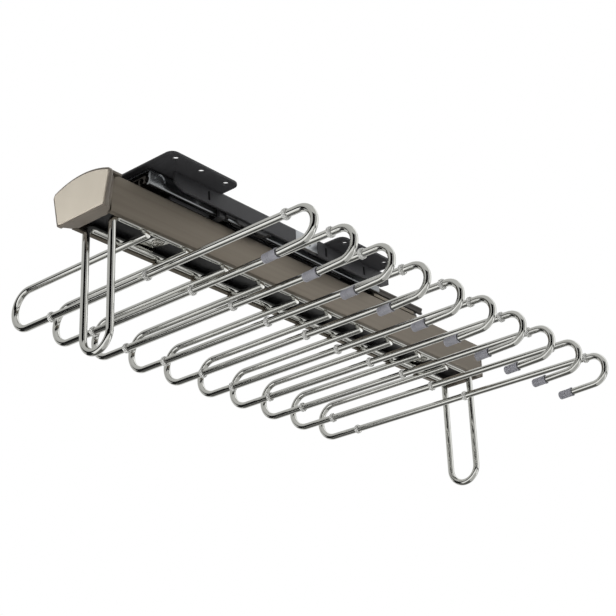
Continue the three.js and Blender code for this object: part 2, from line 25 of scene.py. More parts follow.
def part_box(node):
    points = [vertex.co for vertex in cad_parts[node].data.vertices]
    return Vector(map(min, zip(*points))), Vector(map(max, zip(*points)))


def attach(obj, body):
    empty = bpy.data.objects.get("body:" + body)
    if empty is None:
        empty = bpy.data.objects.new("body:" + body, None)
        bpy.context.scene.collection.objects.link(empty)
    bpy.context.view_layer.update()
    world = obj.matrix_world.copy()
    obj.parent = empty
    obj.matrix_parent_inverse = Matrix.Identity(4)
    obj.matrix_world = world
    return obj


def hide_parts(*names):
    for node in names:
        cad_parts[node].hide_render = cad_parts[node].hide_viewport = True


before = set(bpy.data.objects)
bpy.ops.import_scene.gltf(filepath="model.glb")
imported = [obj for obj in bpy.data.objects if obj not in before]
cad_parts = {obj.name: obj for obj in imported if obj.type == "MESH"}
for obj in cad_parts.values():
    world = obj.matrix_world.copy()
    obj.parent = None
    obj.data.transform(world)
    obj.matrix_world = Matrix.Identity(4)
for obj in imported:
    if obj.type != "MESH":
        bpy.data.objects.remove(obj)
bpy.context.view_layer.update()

log = logging.getLogger("trouser_rack")

MM = 0.001
RIGHT, LEFT = Vector((1, 0, 0)), Vector((-1, 0, 0))
BACK, FORWARD = Vector((0, 1, 0)), Vector((0, -1, 0))
UP = Vector((0, 0, 1))

Flat = tuple[float, float]
Corner = tuple[float, float, float]
Mesh = bpy.types.Object

# Edges sharper than this, in degrees, look sharp: on flat work, and on round work
FLAT_ANGLE, ROUND_ANGLE = 35.0, 60.0
# Edges sharper than this, in degrees, are rounded
BEVEL_ANGLE = 40.0
# Points nearer than this, in millimetres, are one
MERGE_REACH = 0.002


class Body(Enum):
    """The CAD bodies that pieces ride on."""

    SHELF = "shelf_mount"
    MIDDLE = "middle_stage"
    OUTER_CAGE_RIGHT = "outer_cage_right"
    OUTER_CAGE_LEFT = "outer_cage_left"
    INNER_CAGE_RIGHT = "inner_cage_right"
    INNER_CAGE_LEFT = "inner_cage_left"
    BEAM = "beam"


class Slot(Enum):
    """The record's material slots."""

    BLACK_STEEL = "black_steel"
    ZINC_STEEL = "zinc_steel"
    DARK_STEEL = "dark_steel"
    BRONZE = "bronze"
    BRONZE_PLASTIC = "bronze_plastic"
    BEIGE_PLASTIC = "beige_plastic"
    BLACK_PLASTIC = "black_plastic"
    CHROME = "chrome"
    GREY_RUBBER = "grey_rubber"
    NONE = ""


class Plane(Enum):
    """The plane a section is drawn in, by its two axes and the one it is drawn out along."""

    FRONT = (0, 2, 1)
    SIDE = (1, 2, 0)
    TOP = (0, 1, 2)

    def point(self, first: float, second: float, depth: float) -> Vector:
        """Places a point of the section at a depth, in metres."""
        spot = [0.0, 0.0, 0.0]
        for axis, length in zip(self.value, (first, second, depth)):
            spot[axis] = length * MM
        return Vector(spot)


# Modelling with Blender's operators


def select_only(obj: Mesh) -> None:
    """Selects one object, alone, and makes it active.

    Args:
        obj: The object.
    """
    bpy.ops.object.select_all(action="DESELECT")
    obj.select_set(True)
    bpy.context.view_layer.objects.active = obj


@contextmanager
def editing(obj: Mesh, mode: str = "VERT") -> Iterator[None]:
    """Opens a mesh for editing with nothing else selected.

    Args:
        obj: The object whose mesh is edited.
        mode: What is selected, VERT, EDGE or FACE.
    """
    select_only(obj)
    bpy.ops.object.mode_set(mode="EDIT")
    bpy.ops.mesh.select_mode(type=mode)
    yield
    bpy.ops.object.mode_set(mode="OBJECT")


def select_faces(obj: Mesh, wanted: Callable[[bmesh.types.BMFace], bool]) -> None:
    """Selects the faces of a mesh in edit mode that a test picks by place or normal.

    Args:
        obj: The object whose mesh is edited.
        wanted: The test of a face.
    """
    bpy.ops.mesh.select_all(action="DESELECT")
    shape = bmesh.from_edit_mesh(obj.data)
    for face in shape.faces:
        face.select_set(wanted(face))
    bmesh.update_edit_mesh(obj.data)


def settle(obj: Mesh) -> None:
    """Puts an object at the origin with its place in its mesh."""
    select_only(obj)
    bpy.ops.object.transform_apply(location=True, rotation=True, scale=True)


def trace(name: str, points: Sequence[Vector]) -> Mesh:
    """Draws a line from one vertex, point by point.

    Args:
        name: The new object's name.
        points: Where the line goes, in metres.

    Returns:
        The object, whose mesh is the open line.
    """
    bpy.ops.object.select_all(action="DESELECT")
    bpy.ops.mesh.primitive_plane_add(size=MM, location=points[0])
    obj = bpy.context.object
    obj.name = obj.data.name = name
    with editing(obj):
        bpy.ops.mesh.select_all(action="SELECT")
        bpy.ops.mesh.merge(type="CENTER")
        for here, there in pairwise(points):
            bpy.ops.mesh.extrude_vertices_move(TRANSFORM_OT_translate={"value": there - here})
    settle(obj)
    return obj


def recalculate(obj: Mesh) -> None:
    """Merges doubles and turns every face outwards.

    Args:
        obj: The object whose mesh is mended.
    """
    with editing(obj):
        bpy.ops.mesh.select_all(action="SELECT")
        bpy.ops.mesh.remove_doubles(threshold=MERGE_REACH * MM)
        bpy.ops.mesh.normals_make_consistent(inside=False)


def prism(name: str, plane: Plane, outline: Sequence[Flat], span: Flat) -> Mesh:
    """Traces a closed section and draws it out.

    Args:
        name: The new object's name.
        plane: The plane of the section.
        outline: The section's points.
        span: The depths it stands between, along the plane's third axis.

    Returns:
        The closed solid.
    """
    start, end = span
    obj = trace(name, [plane.point(a, b, start) for a, b in outline])
    with editing(obj):
        bpy.ops.mesh.select_all(action="SELECT")
        bpy.ops.mesh.edge_face_add()
        draw = plane.point(0, 0, end - start)
        bpy.ops.mesh.extrude_region_move(TRANSFORM_OT_translate={"value": draw})
    recalculate(obj)
    return obj


def turned(name: str, rows: Sequence[Flat], centre: Vector, axis: Vector, steps: int = 32) -> Mesh:
    """Turns a profile round an axis, as on a lathe.

    Args:
        name: The new object's name.
        rows: Radius and height of the profile's points.
        centre: Where height 0 is on the axis, in millimetres.
        axis: The way that height grows.
        steps: Facets round the axis.

    Returns:
        The closed solid.
    """
    obj = trace(name, [Plane.FRONT.point(radius, height, 0) for radius, height in rows])
    with editing(obj):
        bpy.ops.mesh.select_all(action="SELECT")
        bpy.ops.mesh.spin(steps=steps, angle=math.tau, center=(0, 0, 0), axis=UP)
    recalculate(obj)
    place(obj, centre, axis)
    return obj


def drill(
    radius: float, reach: float, centre: Vector, axis: Vector, steps: int = 32
) -> Mesh:
    """Turns a round cutter that reaches the same way out on both sides of its centre."""
    rows = [(0, -reach), (radius, -reach), (radius, reach), (0, reach)]
    return turned("drill", rows, centre, axis, steps)


def place(obj: Mesh, centre: Vector, axis: Vector = UP) -> None:
    """Turns a piece made along Z to an axis and moves it to a centre in millimetres.

    Args:
        obj: The piece.
        centre: Where its origin goes.
        axis: The way its Z goes.
    """
    turn = UP.rotation_difference(axis).to_matrix().to_4x4()
    obj.matrix_world = Matrix.Translation(Vector(centre) * MM) @ turn
    settle(obj)


def apply_modifier(obj: Mesh, kind: str, **settings: Any) -> None:
    """Adds a modifier with its settings and applies it.

    Args:
        obj: The object it changes.
        kind: The modifier's type.
        settings: Its properties.
    """
    select_only(obj)
    modifier = obj.modifiers.new(kind.title(), kind)
    for name, value in settings.items():
        setattr(modifier, name, value)
    bpy.ops.object.modifier_apply(modifier=modifier.name)


def bevel(obj: Mesh, width: float, segments: int = 2, angle: float = BEVEL_ANGLE) -> Mesh:
    """Rounds every edge sharper than an angle in degrees."""
    apply_modifier(
        obj, "BEVEL", width=width * MM, segments=segments, limit_method="ANGLE",
        angle_limit=math.radians(angle), use_clamp_overlap=True,
    )
    return obj


def combine(obj: Mesh, operation: str, others: Sequence[Mesh]) -> Mesh:
    """Adds separate solids to a solid, or takes them away, and deletes them.

    Args:
        obj: The solid that is changed.
        operation: UNION or DIFFERENCE.
        others: The separate solids.

    Returns:
        The solid that was changed.
    """
    tool = merge_shells("tool", others)
    apply_modifier(obj, "BOOLEAN", operation=operation, object=tool, solver="EXACT")
    bpy.data.objects.remove(tool)
    return obj


def merge_shells(name: str, shells: Sequence[Mesh]) -> Mesh:
    """Joins separate shells to one object.

    Args:
        name: The object's new name.
        shells: The shells, the first of which takes up the others.

    Returns:
        The joined object.
    """
    select_only(shells[0])
    for shell in shells:
        shell.select_set(True)
    if len(shells) > 1:
        bpy.ops.object.join()
    shells[0].name = name
    return shells[0]


def copy_of(obj: Mesh, name: str, shift: Vector) -> Mesh:
    """Copies a piece, with a mesh of its own, moved by a shift in millimetres.

    Args:
        obj: The piece.
        name: The copy's name.
        shift: How far the copy is moved.

    Returns:
        The copy.
    """
    select_only(obj)
    bpy.ops.object.duplicate(linked=False)
    made = bpy.context.object
    made.name = name
    bpy.ops.transform.translate(value=shift * MM)
    settle(made)
    return made


def rounded(corners: Sequence[Corner], steps: int = 4) -> list[Flat]:
    """Rounds the corners of a closed outline.

    Args:
        corners: Two coordinates and a radius for each corner.
        steps: Facets in each rounded corner.

    Returns:
        The outline's points.
    """
    outline: list[Flat] = []
    ring = [*corners[-1:], *corners, *corners[:1]]
    for before, here, after in zip(ring, ring[1:], ring[2:]):
        corner, radius = Vector(here[:2]), here[2]
        if not radius:
            outline.append((corner.x, corner.y))
            continue
        back, on = (Vector(p[:2]) - corner for p in (before, after))
        half = back.angle(on) / 2
        inward = (back.normalized() + on.normalized()).normalized()
        centre = corner + inward * radius / math.sin(half)
        reach = radius / math.tan(half)
        first, last = (corner + way.normalized() * reach - centre for way in (back, on))
        for step in range(steps + 1):
            spot = centre + first.slerp(last, step / steps).normalized() * radius
            outline.append((spot.x, spot.y))
    return outline


def both_sides(right_half: Sequence[Corner]) -> list[Corner]:
    """Completes a symmetrical section from its right half, which starts and ends at X 0."""
    return [*right_half, *((-x, z, r) for x, z, r in reversed(right_half[1:-1]))]


def rectangle(x: Flat, y: Flat, radius: float) -> list[Corner]:
    """The corners of a rounded rectangle, from its ranges along both axes."""
    spots = [(x[0], y[0]), (x[1], y[0]), (x[1], y[1]), (x[0], y[1])]
    return [(a, b, radius) for a, b in spots]


def left_and_right(x: Flat) -> tuple[Flat, Flat]:
    """A range across the rack's right half, and its mirror image on the left before it."""
    return (-x[1], -x[0]), x


@dataclass(frozen=True)
class Shape:
    """A solid drawn out from a section.

    Each corner is two coordinates and a radius. The span holds the depths it stands between,
    and the edge is how far its edges are rounded.
    """

    name: str
    plane: Plane
    corners: Sequence[Corner]
    span: Flat
    edge: float = 0.0
    steps: int = 4
    segments: int = 2

    def made(self) -> Mesh:
        """Builds the solid."""
        obj = prism(self.name, self.plane, rounded(self.corners, self.steps), self.span)
        return bevel(obj, self.edge, self.segments) if self.edge else obj


# Finishes


def linear(colour: str) -> tuple[float, float, float, float]:
    """Turns an sRGB hex colour to linear values.

    Args:
        colour: A hash and six digits.

    Returns:
        Red, green, blue and an alpha of 1.
    """
    knee, slope, offset, power = 0.04045, 12.92, 0.055, 2.4
    parts = [int(colour[i : i + 2], 16) / 255 for i in (1, 3, 5)]
    r, g, b = (
        p / slope if p <= knee else ((p + offset) / (1 + offset)) ** power for p in parts
    )
    return r, g, b, 1.0


def add_node(
    tree: bpy.types.NodeTree, kind: str, settings: dict[str, Any], inputs: dict[Any, Any]
) -> bpy.types.Node:
    """Adds a shader node.

    Args:
        tree: The material's or world's tree.
        kind: The node's type.
        settings: The node's own properties.
        inputs: A value, or another node's output to link, for each input.

    Returns:
        The new node.
    """
    node = tree.nodes.new(kind)
    for name, value in settings.items():
        setattr(node, name, value)
    for name, value in inputs.items():
        if isinstance(value, bpy.types.NodeSocket):
            tree.links.new(value, node.inputs[name])
        else:
            node.inputs[name].default_value = value
    return node


def new_material(name: str) -> tuple[bpy.types.Material, bpy.types.Node]:
    """Makes a material with nodes.

    Args:
        name: The material's name.

    Returns:
        The material and its shader.
    """
    material = bpy.data.materials.new(name)
    material.use_nodes = True
    return material, material.node_tree.nodes["Principled BSDF"]


@dataclass(frozen=True)
class Finish:
    """A finish whose tone and gloss vary a little over the surface.

    Mottle is the size of the slow variation and grain that of the fine relief. The stretch
    lengthens both along the rack, for rolled and drawn metal. The details are how fine the two
    noises go, and the noise's range is the part of the slow one that is used.
    """

    name: str
    slot: Slot
    colour: str
    shade: str
    gloss: Flat
    metallic: float = 0.0
    mottle: float = 12.0
    grain: float = 0.6
    relief: float = 0.01
    stretch: float = 1.0
    ior: float = 1.5
    details: Flat = (3.0, 2.0)
    noise: Flat = (0.3, 0.7)

    def material(self) -> bpy.types.Material:
        """Builds the material's nodes."""
        material, shader = new_material(self.name)
        tree = material.node_tree
        where = add_node(tree, "ShaderNodeTexCoord", {}, {}).outputs["Object"]
        stretched = add_node(
            tree, "ShaderNodeMapping", {},
            {"Vector": where, "Scale": (1.0, 1.0 / self.stretch, 1.0)},
        ).outputs["Vector"]
        slow, fine = (
            add_node(
                tree, "ShaderNodeTexNoise", {},
                {"Vector": stretched, "Scale": 1 / (size * MM), "Detail": detail},
            ).outputs["Fac"]
            for size, detail in ((self.mottle, self.details[0]), (self.grain, self.details[1]))
        )
        tone = add_node(tree, "ShaderNodeValToRGB", {}, {"Fac": slow})
        low, high = tone.color_ramp.elements
        low.position, low.color = self.noise[0], linear(self.shade)
        high.position, high.color = self.noise[1], linear(self.colour)
        tree.links.new(tone.outputs["Color"], shader.inputs["Base Color"])
        gloss = add_node(
            tree, "ShaderNodeMapRange", {},
            {"Value": slow, "From Min": self.noise[0], "From Max": self.noise[1],
             "To Min": self.gloss[0], "To Max": self.gloss[1]},
        ).outputs["Result"]
        tree.links.new(gloss, shader.inputs["Roughness"])
        bump = add_node(
            tree, "ShaderNodeBump", {},
            {"Height": fine, "Strength": 1.0, "Distance": self.relief * MM},
        ).outputs["Normal"]
        tree.links.new(bump, shader.inputs["Normal"])
        shader.inputs["Metallic"].default_value = self.metallic
        if not self.metallic:
            shader.inputs["IOR"].default_value = self.ior
        self.complete(shader)
        return material

    def complete(self, shader: bpy.types.Node) -> None:
        """Sets what only some finishes have."""


@dataclass(frozen=True)
class ClearSilicone(Finish):
    """Clear silicone rubber, seen against what is behind it."""

    clearness: float = 0.45

    def complete(self, shader: bpy.types.Node) -> None:
        """Lets light through."""
        shader.inputs["Transmission Weight"].default_value = self.clearness


# Bright chrome on drawn steel wire: mirror-like, with faint ripples from polishing.
CHROME = Finish(
    "bright_chrome_plate", Slot.CHROME, "#ECECE8", "#E0E0DC", (0.03, 0.07),
    metallic=1.0, mottle=18.0, grain=6.0, relief=0.006,
)
# Extruded aluminium, anodised bronze: a satin sheen with fine die lines along the beam.
BRONZE = Finish(
    "bronze_anodised_aluminium", Slot.BRONZE, "#817A6F", "#736B61", (0.36, 0.48),
    metallic=0.85, mottle=5.0, grain=0.35, relief=0.006, stretch=60.0,
)
# Pressed steel, black powder coat: an even orange-peel skin that hides the metal.
POWDER = Finish(
    "black_powder_coat", Slot.BLACK_STEEL, "#363638", "#2E2E30", (0.42, 0.55),
    mottle=9.0, grain=0.9, relief=0.03, ior=1.33,
)
# Drawn steel tube, black stove enamel: smooth and deep, seen only in the shade, and darker than the
# brackets' powder coat as painted shade inside the beam.
ENAMEL_PAINTED_SHADE = Finish(
    "black_enamel_painted_shade", Slot.BLACK_STEEL, "#1E1E1F", "#181819", (0.3, 0.4),
    mottle=20.0, grain=1.5, relief=0.006,
)
# Rolled steel, bright zinc plate: a cool grey shine, cloudy from the plating bath.
ZINC = Finish(
    "bright_zinc_plate", Slot.ZINC_STEEL, "#BDC0C3", "#A5A8AC", (0.22, 0.36),
    metallic=1.0, mottle=7.0, grain=0.5, relief=0.006, stretch=8.0,
)
# Cold-headed screws, bright nickel plate: smoother and paler than the rolled steel.
NICKEL = Finish(
    "bright_nickel_plate", Slot.ZINC_STEEL, "#E2E0DA", "#D2D0CA", (0.08, 0.14),
    metallic=1.0, mottle=7.0, grain=0.5, relief=0.002,
)
# Rolled steel, black zinc plate: dark, with a brown cast.
DARK_ZINC = Finish(
    "black_zinc_plate", Slot.DARK_STEEL, "#55514D", "#45413E", (0.3, 0.42),
    metallic=0.9, mottle=6.0, grain=0.5, relief=0.006, stretch=8.0,
)
# Moulded ABS with a satin beige lacquer: smooth and a little pearly.
BEIGE = Finish(
    "beige_lacquered_abs", Slot.BEIGE_PLASTIC, "#BAB2A4", "#B4AC9E", (0.34, 0.42),
    mottle=25.0, grain=0.5, relief=0.008,
)
# Moulded ABS in bronze brown, with a fine spark-eroded texture.
BRONZE_ABS = Finish(
    "bronze_moulded_abs", Slot.BRONZE_PLASTIC, "#655E55", "#5B544C", (0.42, 0.5),
    mottle=15.0, grain=0.45, relief=0.012,
)
# Glass-filled nylon: black, matt and slightly streaky from the mould.
NYLON = Finish(
    "black_glass_filled_nylon", Slot.BLACK_PLASTIC, "#242426", "#1B1B1D", (0.42, 0.58),
    mottle=6.0, grain=0.4, relief=0.012, ior=1.53,
)
# Soft grey PVC dipped over the wire ends.
SOFT_PVC = Finish(
    "grey_soft_pvc", Slot.GREY_RUBBER, "#808086", "#76767C", (0.38, 0.46),
    mottle=20.0, grain=3.0, relief=0.004,
)
# Clear moulded silicone, slightly milky.
SILICONE = ClearSilicone(
    "clear_silicone", Slot.NONE, "#D2D2CF", "#C4C4C1", (0.26, 0.34),
    mottle=4.0, grain=1.5, relief=0.004, ior=1.41,
)
# Hardened bearing steel, ground and lapped.
BEARING = Finish(
    "lapped_bearing_steel", Slot.DARK_STEEL, "#CDCFD1", "#C2C4C7", (0.05, 0.08),
    metallic=1.0, mottle=3.0, grain=1.0, relief=0.001,
)


@cache
def material_of(finish: Finish) -> bpy.types.Material:
    """The one material of a finish."""
    return finish.material()


# Sub-assemblies


@dataclass(frozen=True)
class Piece:
    """A shape with its finish, the body it rides on and the CAD node it stands for."""

    shape: Shape
    finish: Finish
    body: Body
    node: str


class SubAssembly:
    """What every sub-assembly does with a finished mesh."""

    def dress(
        self, obj: Mesh, finish: Finish, body: Body, *nodes: str, angle: float = FLAT_ANGLE
    ) -> Mesh:
        """Gives a mesh its finish and its place in the frame.

        Args:
            obj: The finished mesh.
            finish: What it is made of.
            body: The CAD body it rides on.
            nodes: The CAD nodes it stands for.
            angle: Edges sharper than this stay sharp.

        Returns:
            The same object.
        """
        select_only(obj)
        bpy.ops.object.shade_smooth_by_angle(angle=math.radians(angle))
        obj.data.materials.clear()
        obj.data.materials.append(material_of(finish))
        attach(obj, body.value)
        if nodes:
            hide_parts(*nodes)
        log.info("%s: %s on %s", obj.name, finish.name, body.value)
        return obj

    def add(self, piece: Piece, pressed: Sequence[Mesh] = (), cut: Sequence[Mesh] = ()) -> None:
        """Builds and dresses a piece.

        Args:
            piece: What it is.
            pressed: Solids that become one with it.
            cut: Solids that are taken away from it.
        """
        obj = piece.shape.made()
        if pressed:
            combine(obj, "UNION", pressed)
        if cut:
            combine(obj, "DIFFERENCE", cut)
        self.dress(obj, piece.finish, piece.body, piece.node)


@dataclass(frozen=True)
class Bracket:
    """A bracket: the middle of its flanges, the ends of its webs and the slots in them."""

    name: str
    node: str
    middle: float
    webs: Flat
    cut_at_front: bool
    slots: Sequence[float]


@dataclass
class ShelfBrackets(SubAssembly):
    """The two pressed brackets screwed under the shelf and the channel between them."""

    brackets: Sequence[Bracket] = (
        Bracket("front_bracket_pressed", "front_bracket", 0.0, (-13.5, 117.5), True, (21.0,)),
        Bracket(
            "rear_bracket_pressed", "rear_bracket", 188.5, (144.0, 235.5), False, (154.2, 202.5)
        ),
    )
    sheet: float = 2.0
    # What the flanges lack on both faces, so that no two faces lie in one plane
    hair: float = 0.01
    edge: float = 0.25
    flange_half: Flat = (50.0, 35.0)
    flange_corner: float = 6.0
    channel_half: float = 31.5
    web_bottom: float = -15.0
    web_corner: float = 0.3
    bend: Flat = (2.6, 0.6)
    bend_steps: int = 5
    cut: Flat = (9.0, 4.5)
    hole_radius: float = 2.25
    hole_chamfer: float = 0.3
    hole_across: float = 44.0
    hole_pitch: float = 25.5
    slot_half: float = 1.0
    slot_z: Flat = (-12.5, -4.5)
    slot_corner: float = 0.9
    joiner_y: Flat = (117.8, 143.7)
    joiner_bottom: float = -13.4
    lap_x: Flat = (27.7, 29.2)
    lap_y: Flat = (103.8, 157.7)
    lap_z: Flat = (-13.39, -2.4)
    lap_corner: float = 1.5
    lap_hole: Corner = (0.0, 133.8, -9.0)
    lap_hole_radius: float = 1.5
    overrun: float = 1.0
    reach: float = 40.0

    def channel(self, name: str, y: Flat, bottom: float, wall: float) -> Mesh:
        """Folds a channel from sheet, open below.

        Args:
            name: The new object's name.
            y: Its ends along the rack.
            bottom: How low its sides reach.
            wall: The thickness of its sides.

        Returns:
            The solid, its edges still square.
        """
        half, low, corner = self.channel_half, -self.sheet, self.web_corner
        corners = both_sides([
            (0, 0, 0), (half, 0, self.bend[0]), (half, bottom, corner),
            (half - wall, bottom, corner), (half - wall, low, self.bend[1]), (0, low, 0),
        ])
        return Shape(name, Plane.FRONT, corners, y, steps=self.bend_steps).made()

    def cut_corner(self, obj: Mesh, bracket: Bracket) -> None:
        """Cuts the lower corner of both webs at one end.

        Args:
            obj: The bracket's channel.
            bracket: Says which end is cut.
        """
        length, height = self.cut
        inward, end = (1, bracket.webs[0]) if bracket.cut_at_front else (-1, bracket.webs[1])
        with editing(obj):
            bpy.ops.mesh.select_all(action="SELECT")
            bpy.ops.mesh.bisect(
                plane_co=Vector((0, end, self.web_bottom + height)) * MM,
                plane_no=Vector((0, -inward * height, -length)).normalized(),
                use_fill=True, clear_outer=True,
            )

    def cutters(self, bracket: Bracket) -> list[Mesh]:
        """Makes the cutters of a bracket's slots and of its screw holes, chamfered on both faces.

        Args:
            bracket: Says where they are.

        Returns:
            The cutters.
        """
        tools = []
        for y in bracket.slots:
            span = (y - self.slot_half, y + self.slot_half)
            flat = rectangle(span, self.slot_z, self.slot_corner)
            tools.append(Shape("slot", Plane.SIDE, flat, (-self.reach, self.reach)).made())
        r, deep, past, low = self.hole_radius, self.hole_chamfer, self.overrun, -self.sheet
        wide = r + deep + past
        rows = [(0, low - past), (wide, low - past), (r, low + deep)]
        rows += [(r, -deep), (wide, past), (0, past)]
        for side, row in product((-1, 1), (-1, 0, 1)):
            spot = Vector((side * self.hole_across, bracket.middle + row * self.hole_pitch, 0))
            tools.append(turned("hole", rows, spot, UP))
        return tools

    def bracket(self, bracket: Bracket) -> Mesh:
        """Folds a bracket, adds its flanges and cuts its openings.

        Args:
            bracket: Its name and its places along the rack.

        Returns:
            The bracket as one solid.
        """
        obj = self.channel(bracket.name, bracket.webs, self.web_bottom, self.sheet)
        self.cut_corner(obj, bracket)
        bevel(obj, self.edge)
        middle, (across, along) = bracket.middle, self.flange_half
        flat = rectangle((-across, across), (middle - along, middle + along), self.flange_corner)
        plate = Shape("plate", Plane.TOP, flat, (self.hair - self.sheet, -self.hair), self.edge)
        combine(obj, "UNION", [plate.made()])
        return combine(obj, "DIFFERENCE", self.cutters(bracket))

    def joiner(self) -> Mesh:
        """Folds the zinc channel whose sides lap inside the brackets' webs.

        Returns:
            The channel as one solid.
        """
        inside, outside = self.lap_x
        wall = self.channel_half - inside
        obj = self.channel("joiner_channel_folded", self.joiner_y, self.joiner_bottom, wall)
        bevel(obj, self.edge)
        flat, spans = rectangle(self.lap_y, self.lap_z, self.lap_corner), left_and_right(self.lap_x)
        laps = [Shape("lap", Plane.SIDE, flat, span, self.edge).made() for span in spans]
        combine(obj, "UNION", laps)
        hole = drill(self.lap_hole_radius, self.reach, Vector(self.lap_hole), RIGHT)
        return combine(obj, "DIFFERENCE", [hole])

    def build(self) -> None:
        """Builds the brackets and the joiner."""
        for bracket in self.brackets:
            self.dress(self.bracket(bracket), POWDER, Body.SHELF, bracket.node)
        self.dress(self.joiner(), ZINC, Body.SHELF, "joiner_channel")


@dataclass(frozen=True)
class BallRow:
    """A ball cage with its balls: the words of its name, its place across and its body."""

    depth: str
    side: str
    x: float
    body: Body


@dataclass
class BallSlide(SubAssembly):
    """The full-extension slide: three rolled members and four rows of balls.

    The steps in the members' walls, level with the balls, are the races.
    """

    outer: Piece = Piece(
        Shape("slide_outer_rolled", Plane.FRONT, both_sides((
            (0, -2.3, 0), (22.7, -2.3, 2.6), (22.7, -15.0, 0.9), (19.2, -15.0, 0.4),
            (19.2, -13.4, 0.4), (20.4, -13.4, 0.7), (20.4, -12.1, 0.6), (21.1, -11.3, 0.5),
            (21.1, -9.5, 0.5), (20.4, -8.7, 0.6), (20.4, -3.9, 1.0), (0, -3.9, 0),
        )), (-30.0, 234.0), 0.2), ZINC, Body.SHELF, "slide_outer_member",
    )
    middle: Piece = Piece(
        Shape("slide_middle_rolled", Plane.FRONT, both_sides((
            (0, -6.5, 0), (17.8, -6.5, 1.4), (17.8, -8.7, 0.6), (17.1, -9.5, 0.5),
            (17.1, -11.3, 0.5), (17.8, -12.1, 0.6), (17.8, -12.8, 0.4), (14.8, -12.8, 0.4),
            (14.8, -12.1, 0.6), (15.5, -11.3, 0.5), (15.5, -9.5, 0.5), (14.8, -8.7, 0.6),
            (14.8, -7.7, 0.7), (0, -7.7, 0),
        )), (-30.0, 301.0), 0.2), DARK_ZINC, Body.MIDDLE, "slide_middle_member",
    )
    inner: Piece = Piece(
        Shape("slide_inner_rolled", Plane.FRONT, both_sides((
            (0, -15.0, 0), (12.2, -15.0, 1.2), (12.2, -12.1, 0.6), (11.5, -11.3, 0.5),
            (11.5, -9.5, 0.5), (12.2, -8.7, 0.6), (12.2, -8.0, 0.4), (10.2, -8.0, 0.4),
            (10.2, -13.4, 0.8), (0, -13.4, 0),
        )), (-30.0, 300.0), 0.2), DARK_ZINC, Body.BEAM, "slide_inner_member",
    )
    rows: Sequence[BallRow] = (
        BallRow("outer", "right", 19.1, Body.OUTER_CAGE_RIGHT),
        BallRow("outer", "left", -19.1, Body.OUTER_CAGE_LEFT),
        BallRow("inner", "right", 13.5, Body.INNER_CAGE_RIGHT),
        BallRow("inner", "left", -13.5, Body.INNER_CAGE_LEFT),
    )
    arch_centre: Flat = (-20.5, -9.3)
    arch_radii: Flat = (5.6, 4.4)
    arch_x: Flat = (22.1, 23.4)
    arch_edge: float = 0.4
    arch_steps: int = 12
    race: float = -10.4
    cage_y: Flat = (58.0, 194.0)
    cage_z: Flat = (-12.9, -7.9)
    cage_corner: float = 1.6
    cage_half_sheet: float = 0.6
    cage_edge: float = 0.15
    window_play: float = 0.12
    window_reach: float = 2.0
    ball_radius: float = 1.9
    ball_ys: Sequence[float] = (72.0, 108.0, 144.0, 180.0)
    ball_steps: int = 20

    def stop_arches(self) -> list[Mesh]:
        """Makes the arched bead that is pressed out of each outer wall near its front end.

        Returns:
            The left and the right bead.
        """
        (y, z), corners = self.arch_centre, []
        turns = [math.pi * step / self.arch_steps for step in range(self.arch_steps + 1)]
        for radius, way in zip(self.arch_radii, (1, -1)):
            for turn in turns[::way]:
                corners.append((y + radius * math.cos(turn), z + radius * math.sin(turn), 0))
        spans = left_and_right(self.arch_x)
        return [Shape("arch", Plane.SIDE, corners, span, self.arch_edge).made() for span in spans]

    def cage(self, row: BallRow) -> Mesh:
        """Makes a cage strip with a round window for each ball.

        Args:
            row: Which cage it is.

        Returns:
            The strip as one solid.
        """
        flat = rectangle(self.cage_y, self.cage_z, self.cage_corner)
        span = (row.x - self.cage_half_sheet, row.x + self.cage_half_sheet)
        name = f"{row.depth}_cage_strip_{row.side}"
        obj = Shape(name, Plane.SIDE, flat, span, self.cage_edge).made()
        radius, reach = self.ball_radius + self.window_play, self.window_reach
        spots = [Vector((row.x, y, self.race)) for y in self.ball_ys]
        holes = [drill(radius, reach, spot, RIGHT, self.ball_steps) for spot in spots]
        return combine(obj, "DIFFERENCE", holes)

    def balls(self, row: BallRow) -> Mesh:
        """Turns one ball and copies it along its cage.

        Args:
            row: Which row it is.

        Returns:
            The row of balls as one object.
        """
        radius, steps, start = self.ball_radius, self.ball_steps // 2, self.ball_ys[0]
        turns = [math.pi * step / steps for step in range(steps + 1)]
        arc = [(radius * math.sin(turn), radius * math.cos(turn)) for turn in turns]
        first = turned("ball", arc, Vector((row.x, start, self.race)), UP, self.ball_steps)
        others = [copy_of(first, "ball", Vector((0, y - start, 0))) for y in self.ball_ys[1:]]
        return merge_shells(f"{row.depth}_ball_row_{row.side}", [first, *others])

    def build(self) -> None:
        """Builds the members, cages and balls."""
        self.add(self.outer, pressed=self.stop_arches())
        self.add(self.middle)
        self.add(self.inner)
        for row in self.rows:
            self.dress(self.cage(row), ZINC, row.body, f"{row.depth}_ball_cage_{row.side}")
            self.dress(self.balls(row), BEARING, row.body, angle=ROUND_ANGLE)


@dataclass(frozen=True)
class ScrewKind:
    """Screws of one kind: the shank's length, the seat's height and the nodes they stand for."""

    pattern: str
    shank: float
    flanged: bool
    head_up: bool
    seat: float
    body: Body
    nodes: Sequence[str]


